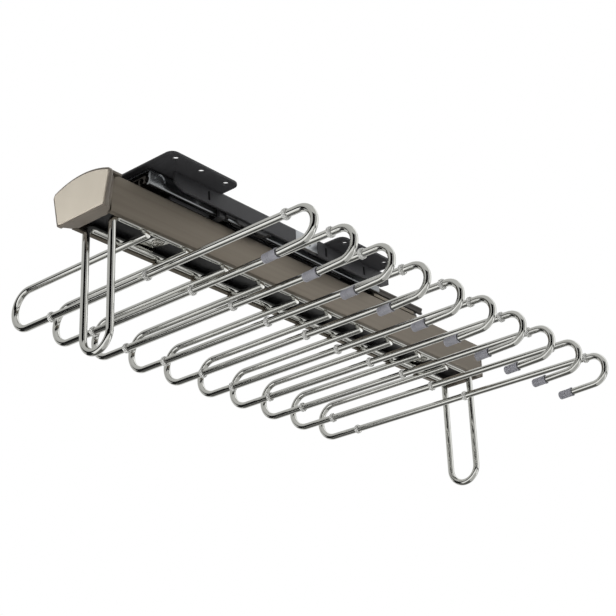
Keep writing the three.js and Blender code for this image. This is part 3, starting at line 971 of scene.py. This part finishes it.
@dataclass
class Screws(SubAssembly):
    """Pan-head screws with a cross recess. All are made head down."""

    kinds: Sequence[ScrewKind] = (
        ScrewKind("slide_screw_{}_pan", 3.8, False, False, -4.2, Body.SHELF,
                  ("slide_screw_1", "slide_screw_2", "slide_screw_3", "slide_screw_4")),
        ScrewKind("spacer_screw_{}_pan", 9.6, False, True, -13.1, Body.BEAM,
                  ("front_spacer_screw", "rear_spacer_screw")),
        ScrewKind("cross_screw_{}_flanged", 3.6, True, False, -43.9, Body.BEAM,
                  ("front_cross_screw", "rear_cross_screw")),
    )
    head_radius: float = 3.5
    head_height: float = 1.3
    # The domed head's profile, in shares of its radius and of its height
    dome: Sequence[Flat] = ((0, 1), (0.3, 0.96), (0.55, 0.87), (0.76, 0.72), (0.92, 0.5), (1, 0.2))
    seat_edge: float = 0.1
    flange_radius: float = 4.5
    flange_height: float = 0.5
    flange_edge: float = 0.15
    flange_fillet: float = 0.05
    shank_radius: float = 1.8
    thread_pitch: float = 0.8
    thread_depth: float = 0.3
    # Where a turn of the thread leaves its root, and where it reaches its crest
    thread_rise: Flat = (0.2, 0.5)
    recess_half: float = 2.0
    recess_width: float = 0.7
    recess_depth: float = 1.0
    overrun: float = 1.0

    def profile(self, kind: ScrewKind) -> list[Flat]:
        """Draws a screw's profile, whose head bears at height 0.

        Args:
            kind: Says how long the shank is and whether the head has a flange.

        Returns:
            Radius and height of the profile's points.
        """
        wide, edge, base = self.head_radius, self.seat_edge, self.flange_height * kind.flanged
        rows = [(wide * out, -base - self.head_height * down) for out, down in self.dome]
        if kind.flanged:
            rows += [(wide, -base - self.flange_fillet)]
            wide, soft = self.flange_radius, self.flange_edge
            rows += [(wide - soft, -base), (wide, -base + soft)]
        rows += [(wide, -edge), (wide - edge, 0)]
        crest, depth, pitch = self.shank_radius, self.thread_depth, self.thread_pitch
        root, (leave, top), turn = crest - depth, self.thread_rise, 0.0
        while turn < kind.shank - 2 * pitch:
            rows += [(root, turn + leave), (crest, turn + top), (root, turn + pitch)]
            turn += pitch
        return [*rows, (root, kind.shank - depth), (root - depth, kind.shank), (0, kind.shank)]

    def screw(self, kind: ScrewKind) -> Mesh:
        """Turns a screw and cuts its cross recess.

        Args:
            kind: Which kind it is.

        Returns:
            The screw as one solid.
        """
        profile = self.profile(kind)
        obj = turned("screw_blank", profile, Vector((0, 0, 0)), UP)
        half, w, tip = self.recess_half, self.recess_width / 2, profile[0][1]
        cross = [
            (half, -w), (half, w), (w, w), (w, half), (-w, half), (-w, w),
            (-half, w), (-half, -w), (-w, -w), (-w, -half), (w, -half), (w, -w),
        ]
        recess = prism("recess", Plane.TOP, cross, (tip - self.overrun, tip + self.recess_depth))
        return combine(obj, "DIFFERENCE", [recess])

    def build(self) -> None:
        """Builds one screw of each kind and copies it to its places."""
        for kind in self.kinds:
            blank = self.screw(kind)
            if kind.head_up:
                blank.matrix_world = Matrix.Rotation(math.pi, 4, "X")
                settle(blank)
            for index, node in enumerate(kind.nodes, 1):
                low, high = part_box(node)
                x, y = (low.x + high.x) / 2 / MM, (low.y + high.y) / 2 / MM
                obj = copy_of(blank, kind.pattern.format(index), Vector((x, y, kind.seat)))
                self.dress(obj, NICKEL, kind.body, node)
            bpy.data.objects.remove(blank)


@dataclass
class SoftClose(SubAssembly):
    """The soft-close unit beside the slide and the trigger on the beam."""

    housing: Piece = Piece(
        Shape("soft_close_housing_moulded", Plane.SIDE, (
            (52.3, -16.0, 0.8), (55.3, -18.4, 1.2), (85.0, -18.4, 1.2), (87.0, -16.2, 0.8),
            (92.0, -16.2, 1.2), (92.0, -5.9, 1.0), (89.0, -5.9, 0.6), (89.0, -4.3, 0.8),
            (57.3, -4.3, 0.8), (57.3, -5.5, 0.5), (52.3, -5.5, 0.8),
        ), (23.0, 29.2), 0.35), NYLON, Body.SHELF, "soft_close_housing",
    )
    catch: Piece = Piece(
        Shape("soft_close_catch_hook", Plane.SIDE, (
            (42.3, -16.2, 0.7), (52.0, -16.2, 0.7), (52.0, -8.2, 0.8), (45.5, -8.2, 0.8),
            (44.5, -10.8, 0.6), (45.7, -13.4, 0.6), (42.3, -14.0, 0.6),
        ), (23.4, 28.8), 0.3), NYLON, Body.SHELF, "soft_close_catch",
    )
    trigger: Piece = Piece(
        Shape("soft_close_trigger_bent", Plane.FRONT, (
            (15.6, -19.0, 0.3), (27.4, -19.0, 1.4), (27.4, -10.5, 0.8), (24.8, -10.5, 0.8),
            (24.8, -17.8, 0.5), (15.6, -17.8, 0.3),
        ), (36.0, 42.0), 0.25), NYLON, Body.BEAM, "soft_close_trigger",
    )
    slot: Shape = Shape(
        "slot", Plane.FRONT, rectangle((24.8, 27.4), (-20.4, -15.2), 0.5), (51.3, 78.3)
    )
    groove_bottoms: Sequence[float] = (-14.4, -11.4, -8.4)
    groove_width: float = 1.1
    groove_corner: float = 0.4
    groove_x: Flat = (28.7, 30.7)
    groove_y: Flat = (61.3, 83.0)
    rod_end: Corner = (26.1, 46.0, -16.9)
    rod_profile: Sequence[Flat] = ((0, 0), (0.7, 0), (0.9, 0.25), (0.9, 14.0), (0, 14.0))
    rod_steps: int = 20

    def cutters(self) -> list[Mesh]:
        """Makes the cutters of the rod's slot under the housing and of the grooves in its side.

        Returns:
            The cutters.
        """
        tools = [self.slot.made()]
        for low in self.groove_bottoms:
            flat = rectangle(self.groove_y, (low, low + self.groove_width), self.groove_corner)
            tools.append(Shape("groove", Plane.SIDE, flat, self.groove_x).made())
        return tools

    def build(self) -> None:
        """Builds the unit, with the damper's rod in the slot under its housing."""
        self.add(self.housing, cut=self.cutters())
        self.add(self.catch)
        end = Vector(self.rod_end)
        rod = turned("soft_close_piston_rod", self.rod_profile, end, BACK, self.rod_steps)
        self.dress(rod, ZINC, Body.SHELF)
        self.add(self.trigger)


@dataclass
class Beam(SubAssembly):
    """The hanging beam: a core tube, two side rails and the spacers above them."""

    y: Flat = (-64.4, 382.0)
    edge: float = 0.2
    core_half: float = 18.7
    core_z: Flat = (-41.8, -21.2)
    core_wall: float = 1.5
    core_corners: Flat = (1.6, 0.6)
    overrun: float = 1.0
    rail_corners: Sequence[Corner] = (
        (14.6, -19.3, 0.5), (20.6, -19.3, 1.2), (20.6, -49.4, 1.0), (16.55, -49.4, 0.5),
        (16.55, -47.8, 0.5), (19.0, -47.8, 0.5), (19.0, -20.9, 0.5), (14.6, -20.9, 0.5),
    )
    rail_steps: int = 5
    # A block with a raised pad under the slide
    spacer_corners: Sequence[Corner] = tuple(both_sides((
        (0, -15.3, 0), (12.2, -15.3, 0.3), (12.2, -16.0, 0.2), (20.6, -16.0, 0.8),
        (20.6, -19.0, 0.5), (0, -19.0, 0),
    )))
    spacer_edge: float = 0.3
    spacers: Sequence[tuple[str, Flat, Finish]] = (
        # The front spacer is black nylon as painted shade for the dark gap between the rails and
        # the slide; the rear one is bronze.
        ("front_spacer", (-8.0, 32.0), NYLON),
        ("rear_spacer", (229.0, 284.0), BRONZE),
    )

    def core(self) -> Mesh:
        """Draws the rectangular tube.

        Returns:
            The tube, open at both ends.
        """
        (low, high), half, wall, past = self.core_z, self.core_half, self.core_wall, self.overrun
        outside, inside = self.core_corners
        flat = rectangle((-half, half), (low, high), outside)
        tube = Shape("beam_core_tube", Plane.FRONT, flat, self.y, self.edge).made()
        flat = rectangle((wall - half, half - wall), (low + wall, high - wall), inside)
        bore = Shape("bore", Plane.FRONT, flat, (self.y[0] - past, self.y[1] + past)).made()
        return combine(tube, "DIFFERENCE", [bore])

    def build(self) -> None:
        """Builds the beam."""
        # The core's darker enamel is painted shade for the dark inside of the beam.
        self.dress(self.core(), ENAMEL_PAINTED_SHADE, Body.BEAM, "beam_core")
        for word, side in (("right", 1), ("left", -1)):
            name, steps = f"side_rail_extruded_{word}", self.rail_steps
            corners = [(side * x, z, r) for x, z, r in self.rail_corners]
            rail = Shape(name, Plane.FRONT, corners, self.y, self.edge, steps).made()
            self.dress(rail, BRONZE, Body.BEAM, f"side_rail_{word}")
        for node, y, finish in self.spacers:
            shape = Shape(f"{node}_block", Plane.FRONT, self.spacer_corners, y, self.spacer_edge)
            self.dress(shape.made(), finish, Body.BEAM, node)


@dataclass
class EndCaps(SubAssembly):
    """The arched front cap with its beige face, and the plain rear cap."""

    body_y: Flat = (-72.3, -64.7)
    body_edge: float = 0.5
    # How much the body narrows towards the beam, and how near its rear its faces are narrowed
    rear_share: float = 0.8
    rear_reach: float = 0.1
    bottom: float = -49.4
    bottom_half: float = 24.3
    bottom_corner: float = 2.0
    widest: Flat = (29.4, -24.8)
    widest_corner: float = 2.5
    shoulder: Flat = (28.0, -22.4)
    shoulder_corner: float = 1.0
    corner_steps: int = 5
    crown_rise: float = 5.5
    crown_sheet: float = 1.8
    crown_steps: int = 20
    roof_y: Flat = (-72.3, -61.1)
    roof_edge: float = 0.4
    face_y: Flat = (-75.0, -72.6)
    face_inset: float = 0.95
    face_edge: float = 0.8
    lip_insets: Flat = (-0.4, 0.8)
    lip_y: Flat = (-74.3, -71.1)
    lip_pocket_y: Flat = (-75.3, -72.35)
    lip_edge: float = 0.25
    # The tongues plug the core tube, and the sill closes the gap between the rails
    tongue: Shape = Shape(
        "tongue", Plane.FRONT, rectangle((-16.9, 16.9), (-40.0, -23.0), 1.0), (-68.3, -52.4), 0.4
    )
    rear_tongue_y: Flat = (370.0, 383.5)
    sill: Shape = Shape(
        "sill", Plane.FRONT, rectangle((-16.2, 16.2), (-49.25, -43.0), 0.6), (-65.7, -62.5), 0.3
    )
    rear_cap: Piece = Piece(
        Shape(
            "rear_cap_moulding", Plane.FRONT, rectangle((-20.6, 20.6), (-49.4, -19.3), 1.0),
            (382.3, 384.8), 0.6, segments=3,
        ), BRONZE_ABS, Body.BEAM, "rear_cap",
    )
    fine_segments: int = 3
    face_segments: int = 4

    def crown(self, inset: float) -> list[Corner]:
        """Draws the crown's arc from right to left.

        Args:
            inset: How far the arc lies inside the cap's outline.

        Returns:
            The arc's points, as corners of no radius.
        """
        half, base = self.shoulder
        radius = (half**2 + self.crown_rise**2) / (2 * self.crown_rise)
        centre, sweep, r = base + self.crown_rise - radius, math.asin(half / radius), radius - inset
        turns = [sweep * (1 - 2 * step / self.crown_steps) for step in range(self.crown_steps + 1)]
        return [(r * math.sin(turn), centre + r * math.cos(turn), 0) for turn in turns]

    def shape(
        self, name: str, inset: float, y: Flat, edge: float = 0.0, segments: int = 2
    ) -> Shape:
        """Draws a shape with the cap's outline.

        Args:
            name: The new object's name.
            inset: How far the outline is drawn in.
            y: Its ends along the rack.
            edge: How far its edges are rounded.
            segments: In how many facets they are.

        Returns:
            The shape.
        """
        low, (across, height), foot = self.bottom + inset, self.widest, self.bottom_half - inset
        right, *arc, left = self.crown(inset)
        corners = [
            (inset - across, height, self.widest_corner), (-foot, low, self.bottom_corner),
            (foot, low, self.bottom_corner), (across - inset, height, self.widest_corner),
            (*right[:2], self.shoulder_corner), *arc, (*left[:2], self.shoulder_corner),
        ]
        return Shape(name, Plane.FRONT, corners, y, edge, self.corner_steps, segments)

    def body(self) -> Mesh:
        """Moulds the front cap's body, which narrows to the beam under a straight crown.

        Returns:
            The body as one solid.
        """
        obj = self.shape("front_cap_moulding", 0, self.body_y).made()
        rear = (self.body_y[1] - self.rear_reach) * MM
        with editing(obj, "FACE"):
            select_faces(obj, lambda face: face.calc_center_median().y > rear)
            bpy.ops.transform.resize(value=(self.rear_share, 1, 1), center_override=(0, 0, 0))
        fine = self.fine_segments
        bevel(obj, self.body_edge, fine)
        arc = [*self.crown(0), *reversed(self.crown(self.crown_sheet))]
        roof = Shape("roof", Plane.FRONT, arc, self.roof_y, self.roof_edge, segments=fine)
        combine(obj, "UNION", [roof.made(), self.sill.made(), self.tongue.made()])
        return combine(obj, "UNION", [self.face_lip()])

    def face_lip(self) -> Mesh:
        """Moulds the lip that stands round the face.

        Returns:
            The lip, a closed ring.
        """
        outside, inside = self.lip_insets
        lip = self.shape("lip", outside, self.lip_y).made()
        pocket = self.shape("pocket", inside, self.lip_pocket_y).made()
        return bevel(combine(lip, "DIFFERENCE", [pocket]), self.lip_edge)

    def build(self) -> None:
        """Builds the caps."""
        self.dress(self.body(), BRONZE_ABS, Body.BEAM, "front_cap_body")
        face = self.shape(
            "front_cap_face_plate", self.face_inset, self.face_y, self.face_edge, self.face_segments
        )
        self.dress(face.made(), BEIGE, Body.BEAM, "front_cap_face")
        self.add(self.rear_cap, pressed=[replace(self.tongue, span=self.rear_tongue_y).made()])


class WireBender:
    """Draws a wire as a bender makes it: straight runs and bends, one after another."""

    sides = 24
    end_round = 0.4
    end_segments = 3

    def __init__(self, name: str, start: Vector, heading: Vector, radius: float) -> None:
        """Lays down the wire's first end.

        Args:
            name: The new object's name.
            start: The middle of the end, in millimetres.
            heading: The way the wire goes.
            radius: The wire's radius.
        """
        self.here, self.heading = start.copy(), heading.copy()
        turn = UP.rotation_difference(heading).to_euler()
        bpy.ops.object.select_all(action="DESELECT")
        bpy.ops.mesh.primitive_circle_add(
            vertices=self.sides, radius=radius * MM, fill_type="NGON",
            location=start * MM, rotation=turn,
        )
        self.obj = bpy.context.object
        self.obj.name = self.obj.data.name = name
        settle(self.obj)
        select_only(self.obj)
        bpy.ops.object.mode_set(mode="EDIT")
        bpy.ops.mesh.select_mode(type="FACE")
        bpy.ops.mesh.select_all(action="SELECT")

    def straight(self, length: float) -> "WireBender":
        """Draws the end on by a length.

        Args:
            length: How far the end goes.

        Returns:
            The bender, for the next step.
        """
        way = self.heading * length
        bpy.ops.mesh.extrude_region_move(TRANSFORM_OT_translate={"value": way * MM})
        self.here += way
        return self

    def bend(self, radius: float, angle: float, axis: Vector, steps: int) -> "WireBender":
        """Bends the end round a right-hand axis. The spin operator turns the other way.

        Args:
            radius: The bend's radius, to the middle of the wire.
            angle: How far it turns, in radians.
            axis: The way the bend's axis points.
            steps: Facets along the bend.

        Returns:
            The bender, for the next step.
        """
        centre = self.here + axis.cross(self.heading) * radius
        bpy.ops.mesh.spin(steps=steps, angle=-angle, center=centre * MM, axis=axis)
        turn = Quaternion(axis, angle)
        self.here = centre + turn @ (self.here - centre)
        self.heading = turn @ self.heading
        return self

    def finish(self) -> Mesh:
        """Closes the wire and rounds its cut ends.

        Returns:
            The wire as one solid.
        """
        bpy.ops.object.mode_set(mode="OBJECT")
        recalculate(self.obj)
        return bevel(self.obj, self.end_round, self.end_segments, angle=ROUND_ANGLE)


@dataclass
class ChromeWires(SubAssembly):
    """The long wires with their loops, the arms, and what is welded or pushed on them."""

    radius: float = 2.75
    long_z: float = -46.65
    upper_z: float = -52.45
    half_spacing: float = 13.5
    loop_y: Flat = (-57.0, 372.0)
    loop_corner: float = 7.0
    loop_drop: float = 85.8
    butt_gap: float = 0.3
    corner_steps: int = 8
    loop_steps: int = 24
    arm_count: int = 10
    arm_pitch: float = 40.0
    first_arm: float = -26.0
    left_reach: float = 113.4
    right_reach: float = 157.3
    left_bend: float = 15.8
    right_bend: float = 12.0
    arm_steps: int = 28
    overhang: float = 3.0
    tip_droop: float = 2.6
    tip_run: float = 28.9
    # A tip cap's profile, as radius and height above its end: nose, grooves, flared mouth and bore
    cap_nose: Sequence[Flat] = ((0, 0), (2.6, 0), (3.05, 0.2), (3.3, 0.6), (3.4, 1.1))
    cap_groove: Sequence[Flat] = ((3.4, 0), (3.2, 0.2), (3.2, 0.6), (3.4, 0.8))
    cap_grooves: Sequence[float] = (2.2, 4.0, 5.8)
    cap_mouth: Sequence[Flat] = (
        (3.4, 10.2), (3.65, 10.8), (3.65, 11.8), (3.5, 12.0), (3.05, 12.0), (3.05, 3.0), (0, 3.0),
    )
    # From the arm's end to the outside of the cap's end
    cap_ahead: float = 3.3
    # A slip ring's section, as height along the arm and radius
    ring_corners: Sequence[Corner] = (
        (2.8, -1.8, 0.2), (4.0, -1.8, 1.1), (4.0, 1.8, 1.1), (2.8, 1.8, 0.2),
    )
    # How far along each arm's long bar its three rings sit, as pushed on by hand
    ring_xs: Sequence[tuple[float, float, float]] = (
        (-85.5, 16.1, 145.7), (-84.3, 20.8, 150.0), (-91.1, 22.7, 144.4), (-90.0, 20.9, 148.6),
        (-87.0, 24.5, 154.0), (-91.3, 23.0, 150.5), (-85.7, 24.0, 151.0), (-83.0, 26.5, 149.4),
        (-82.2, 26.9, 145.1), (-86.0, 33.0, 153.0),
    )
    weld_profile: Sequence[Flat] = (
        (0, 0.9), (1.3, 0.8), (2.2, 0.4), (2.5, 0), (2.2, -0.4), (1.3, -0.8), (0, -0.9),
    )
    weld_steps: int = 20
    plate_ys: Flat = (-0.7, 321.4)
    plate_half: Flat = (16.25, 7.5)
    plate_z: Flat = (-43.6, -42.1)
    plate_corner: float = 2.0
    plate_edge: float = 0.25
    plate_hole: float = 2.1
    plate_reach: float = 3.0

    def frame_wire(self) -> Mesh:
        """Bends the long wires and both hanger loops, butted in the middle of the left run.

        Returns:
            The wire as one solid.
        """
        half, quarter, corner = self.half_spacing, math.pi / 2, self.loop_corner
        few, many, (front, back) = self.corner_steps, self.loop_steps, self.loop_y
        start = (front + back) / 2 - self.butt_gap / 2
        first, run, leg = start - front - corner, back - front - 2 * corner, self.loop_drop - corner
        spot = Vector((-half, start, self.long_z))
        wire = WireBender("wire_frame_bent", spot, FORWARD, self.radius).straight(first)
        last = run - first - self.butt_gap
        for way, down, level, length in ((FORWARD, RIGHT, LEFT, run), (BACK, LEFT, RIGHT, last)):
            wire.bend(corner, quarter, down, few).straight(leg).bend(half, math.pi, way, many)
            wire.straight(leg).bend(corner, quarter, level, few).straight(length)
        return wire.finish()

    def arm(self, name: str) -> tuple[Mesh, Vector, Vector]:
        """Bends the first arm.

        Args:
            name: The new object's name.

        Returns:
            The arm, the place of its tip and the way its tip points.
        """
        start = Vector((self.half_spacing + self.overhang, self.first_arm, self.upper_z))
        wire = WireBender(name, start, LEFT, self.radius).straight(start.x + self.left_reach)
        wire.bend(self.left_bend, math.pi, FORWARD, self.arm_steps)
        wire.straight(self.left_reach + self.right_reach)
        wire.bend(self.right_bend, math.pi - math.radians(self.tip_droop), BACK, self.arm_steps)
        return wire.straight(self.tip_run).finish(), wire.here, wire.heading

    def tip_cap(self, name: str, end: Vector, heading: Vector) -> Mesh:
        """Turns the cap over the first arm's end.

        Args:
            name: The new object's name.
            end: The arm's end.
            heading: The way the arm's end points.

        Returns:
            The cap as one solid.
        """
        grooves = [(radius, low + up) for low in self.cap_grooves for radius, up in self.cap_groove]
        profile = [*self.cap_nose, *grooves, *self.cap_mouth]
        return turned(name, profile, end + heading * self.cap_ahead, -heading)

    def ring(self, name: str) -> Mesh:
        """Turns a slip ring round the long bar of the first arm, level with the beam's middle.

        Args:
            name: The new object's name.

        Returns:
            The ring as one solid.
        """
        rows = rounded(self.ring_corners)
        spot = Vector((0, self.first_arm, self.upper_z - 2 * self.left_bend))
        return turned(name, [*rows, rows[0]], spot, RIGHT)

    def welds(self, name: str) -> Mesh:
        """Makes the two weld beads between the first arm and the long wires.

        Args:
            name: The new object's name.

        Returns:
            Both beads as one object.
        """
        y, z, steps = self.first_arm, (self.long_z + self.upper_z) / 2, self.weld_steps
        spots = [Vector((side * self.half_spacing, y, z)) for side in (-1, 1)]
        beads = [turned("weld", self.weld_profile, spot, UP, steps) for spot in spots]
        return merge_shells(name, beads)

    def cross_plate(self, name: str, y: float) -> Mesh:
        """Cuts a plate that is welded across the long wires and drills it for its screw.

        Args:
            name: The new object's name.
            y: Its middle along the rack.

        Returns:
            The plate as one solid.
        """
        across, along = self.plate_half
        flat = rectangle((-across, across), (y - along, y + along), self.plate_corner)
        plate = Shape(name, Plane.TOP, flat, self.plate_z, self.plate_edge).made()
        spot = Vector((0, y, sum(self.plate_z) / 2))
        return combine(plate, "DIFFERENCE", [drill(self.plate_hole, self.plate_reach, spot, UP)])

    def build(self) -> None:
        """Builds the wires and copies what repeats to every arm."""
        body = Body.BEAM
        self.dress(self.frame_wire(), CHROME, body, "wire_frame")
        for word, y in zip(("front", "rear"), self.plate_ys):
            plate = self.cross_plate(f"{word}_cross_plate_drilled", y)
            self.dress(plate, CHROME, body, f"{word}_cross_plate")
        arm, end, heading = self.arm("arm_blank")
        cap = self.tip_cap("cap_blank", end, heading)
        weld = self.welds("weld_blank")
        ring = self.ring("ring_blank")
        for index in range(self.arm_count):
            number = f"{index + 1:02d}"
            shift = Vector((0, index * self.arm_pitch, 0))
            bent = copy_of(arm, f"arm_{number}_bent", shift)
            self.dress(bent, CHROME, body, f"arm_{number}", angle=ROUND_ANGLE)
            dipped = copy_of(cap, f"tip_cap_{number}_dipped", shift)
            self.dress(dipped, SOFT_PVC, body, f"tip_cap_{number}")
            self.dress(copy_of(weld, f"arm_welds_{number}", shift), CHROME, body, angle=ROUND_ANGLE)
            for word, x in zip(("left", "middle", "right"), self.ring_xs[index]):
                pushed = copy_of(ring, f"slip_ring_{number}_{word}", shift + Vector((x, 0, 0)))
                self.dress(pushed, SILICONE, body, angle=ROUND_ANGLE)
        for blank in (arm, cap, weld, ring):
            bpy.data.objects.remove(blank)


@dataclass(frozen=True)
class Card:
    """A board that shows only in the metal, as the photographer's own boards did.

    It lies between two azimuths, two heights and two radii round the rack. Its glow says how
    many times brighter than its colour it shines.
    """

    name: str
    turns: Flat
    heights: Flat
    colour: str
    radii: Flat = (1600.0, 1612.0)
    glow: float = 1.0


@dataclass(frozen=True)
class Softbox:
    """A square soft lamp that faces the rack: its place and side in metres, and its watts."""

    name: str
    place: Corner
    side: float
    power: float


@dataclass
class Studio:
    """The pale floor, the soft light and the camera of the photograph."""

    eye: Vector = Vector((0.6895, -0.6572, -0.5227))
    right: Vector = Vector((0.75619369, 0.65339366, -0.03532467))
    down: Vector = Vector((-0.29101704, 0.28747022, -0.91250751))
    ahead: Vector = Vector((-0.58607183, 0.7003125, 0.40753186))
    lens: float = 85.07
    sensor: float = 36.0
    floor_z: float = -3000.0
    floor_half: float = 4000.0
    floor_corner: float = 800.0
    floor_thick: float = 20.0
    floor_colour: str = "#E6E6E4"
    floor_roughness: float = 0.9
    floor_lift: float = 0.5
    ambient: float = 0.66
    aim: Vector = Vector((0.02, 0.155, -0.06))
    cards: Sequence[Card] = (
        Card("black_flag_right", (5, 62), (-340, 1135), "#0A0A0A"),
        Card("dark_flag_front", (-62, 5), (-340, 330), "#161616"),
        Card("grey_card_high_front", (-62, 5), (330, 1135), "#B4B4B2"),
        Card("dark_flag_low_left", (-100, -44), (-1095, -340), "#242424"),
        Card("white_card_low_front", (-44, 16), (-1095, -345), "#FFFFFF"),
        Card("white_card_low_right", (16, 66), (-1095, -345), "#E6E6E4"),
        Card("grey_card_right", (66, 100), (-1095, 1135), "#9A9A98"),
        Card("white_card_right", (100, 137), (-300, 1135), "#F0F0EE"),
        Card("bright_card_right", (137, 152), (-300, 1135), "#FFFFFF", glow=1.15),
        Card("light_card_back_right", (152, 178), (-300, 1135), "#B8B8B6"),
        Card("dark_card_back_right", (100, 178), (-560, -305), "#3C3C3A"),
        Card("white_card_low_back_right", (100, 178), (-1095, -565), "#FFFFFF"),
        Card("light_card_back_left", (178, 262), (-1095, 1135), "#D0D0CE"),
        Card("light_card_left", (262, 298), (-335, 1135), "#B8B8B6"),
        Card("light_floor_card_front", (-57, 16), (-1098, -1096), "#E2E2DE", (900, 1580)),
        Card("grey_floor_card_left", (180, 360), (-1120, -1100), "#5A5A58", (1, 1600)),
        Card("light_floor_card_right", (0, 180), (-1120, -1100), "#B0B0AE", (1, 1600)),
        Card("light_ceiling_card", (0, 359.9), (1140, 1160), "#BEBEBC", (1, 2100)),
        Card("white_ceiling_card_back", (118, 228), (1110, 1112), "#FFFFFF", (500, 1550)),
    )
    softboxes: Sequence[Softbox] = (
        Softbox("front_softbox", (-0.9, -1.8, 0.3), 1.2, 3.0),
        Softbox("low_softbox", (-0.3, -0.9, -1.0), 1.0, 15.0),
        Softbox("rear_softbox", (0.6, 0.95, 0.1), 0.4, 5.0),
        Softbox("top_softbox", (0.3, 0.4, 1.8), 1.5, 18.0),
    )

    def camera(self) -> None:
        """Sets the camera where the photograph was taken from."""
        data = bpy.data.cameras.new("camera")
        data.lens, data.sensor_width = self.lens, self.sensor
        camera = bpy.data.objects.new("camera", data)
        axes = Matrix((self.right, -self.down, -self.ahead)).transposed().to_4x4()
        camera.matrix_world = Matrix.Translation(self.eye) @ axes
        bpy.context.scene.collection.objects.link(camera)
        bpy.context.scene.camera = camera

    def world(self) -> None:
        """White to the camera and in reflections, softer as a light."""
        world = bpy.data.worlds.new("studio")
        world.use_nodes = True
        bpy.context.scene.world = world
        tree = world.node_tree
        rays = add_node(tree, "ShaderNodeLightPath", {}, {}).outputs
        seen = rays["Is Camera Ray"]
        for name in ("Is Glossy Ray", "Is Transmission Ray"):
            seen = add_node(
                tree, "ShaderNodeMath", {"operation": "MAXIMUM"}, {0: seen, 1: rays[name]}
            ).outputs["Value"]
        strength = add_node(
            tree, "ShaderNodeMapRange", {}, {"Value": seen, "To Min": self.ambient, "To Max": 1.0}
        ).outputs["Result"]
        background = tree.nodes["Background"]
        background.inputs["Color"].default_value = linear("#FFFFFF")
        tree.links.new(strength, background.inputs["Strength"])

    def floor(self) -> None:
        """A pale floor far below."""
        half, low = self.floor_half, self.floor_z
        flat = rectangle((-half, half), (-half, half), self.floor_corner)
        floor = Shape("studio_floor", Plane.TOP, flat, (low - self.floor_thick, low)).made()
        material, shader = new_material("pale_studio_floor")
        tree = material.node_tree
        shader.inputs["Base Color"].default_value = linear(self.floor_colour)
        shader.inputs["Roughness"].default_value = self.floor_roughness
        shader.inputs["Specular IOR Level"].default_value = 0.0
        shader.inputs["Emission Color"].default_value = linear("#FFFFFF")
        seen = add_node(tree, "ShaderNodeLightPath", {}, {}).outputs["Is Camera Ray"]
        lift = add_node(
            tree, "ShaderNodeMath", {"operation": "MULTIPLY"}, {0: seen, 1: self.floor_lift}
        ).outputs["Value"]
        tree.links.new(lift, shader.inputs["Emission Strength"])
        floor.data.materials.append(material)

    def arc(self, radius: float, turns: Flat, steps: int = 24) -> list[Flat]:
        """Draws part of a circle round the rack.

        Args:
            radius: The circle's radius.
            turns: The two azimuths it runs between, in degrees.
            steps: Into how many facets it is cut.

        Returns:
            The points.
        """
        (first, last), shares = turns, [step / steps for step in range(steps + 1)]
        spots = [math.radians(first + (last - first) * share) for share in shares]
        x, y = self.aim.x / MM, self.aim.y / MM
        return [(x + radius * math.sin(turn), y - radius * math.cos(turn)) for turn in spots]

    def board(self, card: Card) -> None:
        """Puts up a board that shows only in the metal.

        Args:
            card: Which board it is.
        """
        inside, outside = (self.arc(radius, card.turns) for radius in card.radii)
        board = prism(card.name, Plane.TOP, [*inside, *reversed(outside)], card.heights)
        material, shader = new_material(card.name)
        shader.inputs["Base Color"].default_value = linear("#000000")
        shader.inputs["Specular IOR Level"].default_value = 0.0
        shader.inputs["Emission Color"].default_value = linear(card.colour)
        shader.inputs["Emission Strength"].default_value = card.glow
        board.data.materials.append(material)
        board.visible_camera = board.visible_diffuse = board.visible_shadow = False
        board.visible_transmission = False

    def lamp(self, box: Softbox) -> None:
        """Sets up a lamp. The boards stand for it in the metal.

        Args:
            box: Which lamp it is.
        """
        data = bpy.data.lights.new(box.name, "AREA")
        data.size, data.energy = box.side, box.power
        lamp = bpy.data.objects.new(box.name, data)
        spot = Vector(box.place)
        turn = (self.aim - spot).to_track_quat("-Z", "Y").to_matrix().to_4x4()
        lamp.matrix_world = Matrix.Translation(spot) @ turn
        lamp.visible_glossy = lamp.visible_camera = False
        bpy.context.scene.collection.objects.link(lamp)

    def build(self) -> None:
        """Sets the stage."""
        self.camera()
        self.world()
        self.floor()
        for card in self.cards:
            self.board(card)
        for box in self.softboxes:
            self.lamp(box)
        bpy.context.scene.view_settings.view_transform = "Standard"


def main() -> None:
    """Builds the sub-assemblies in order, then the studio."""
    logging.basicConfig(level=logging.INFO, format="%(name)s %(message)s", stream=sys.stdout)
    for kind in (ShelfBrackets, BallSlide, Screws, SoftClose, Beam, EndCaps, ChromeWires, Studio):
        log.info("building %s", kind.__name__)
        kind().build()


if __name__ == "__main__":
    main()
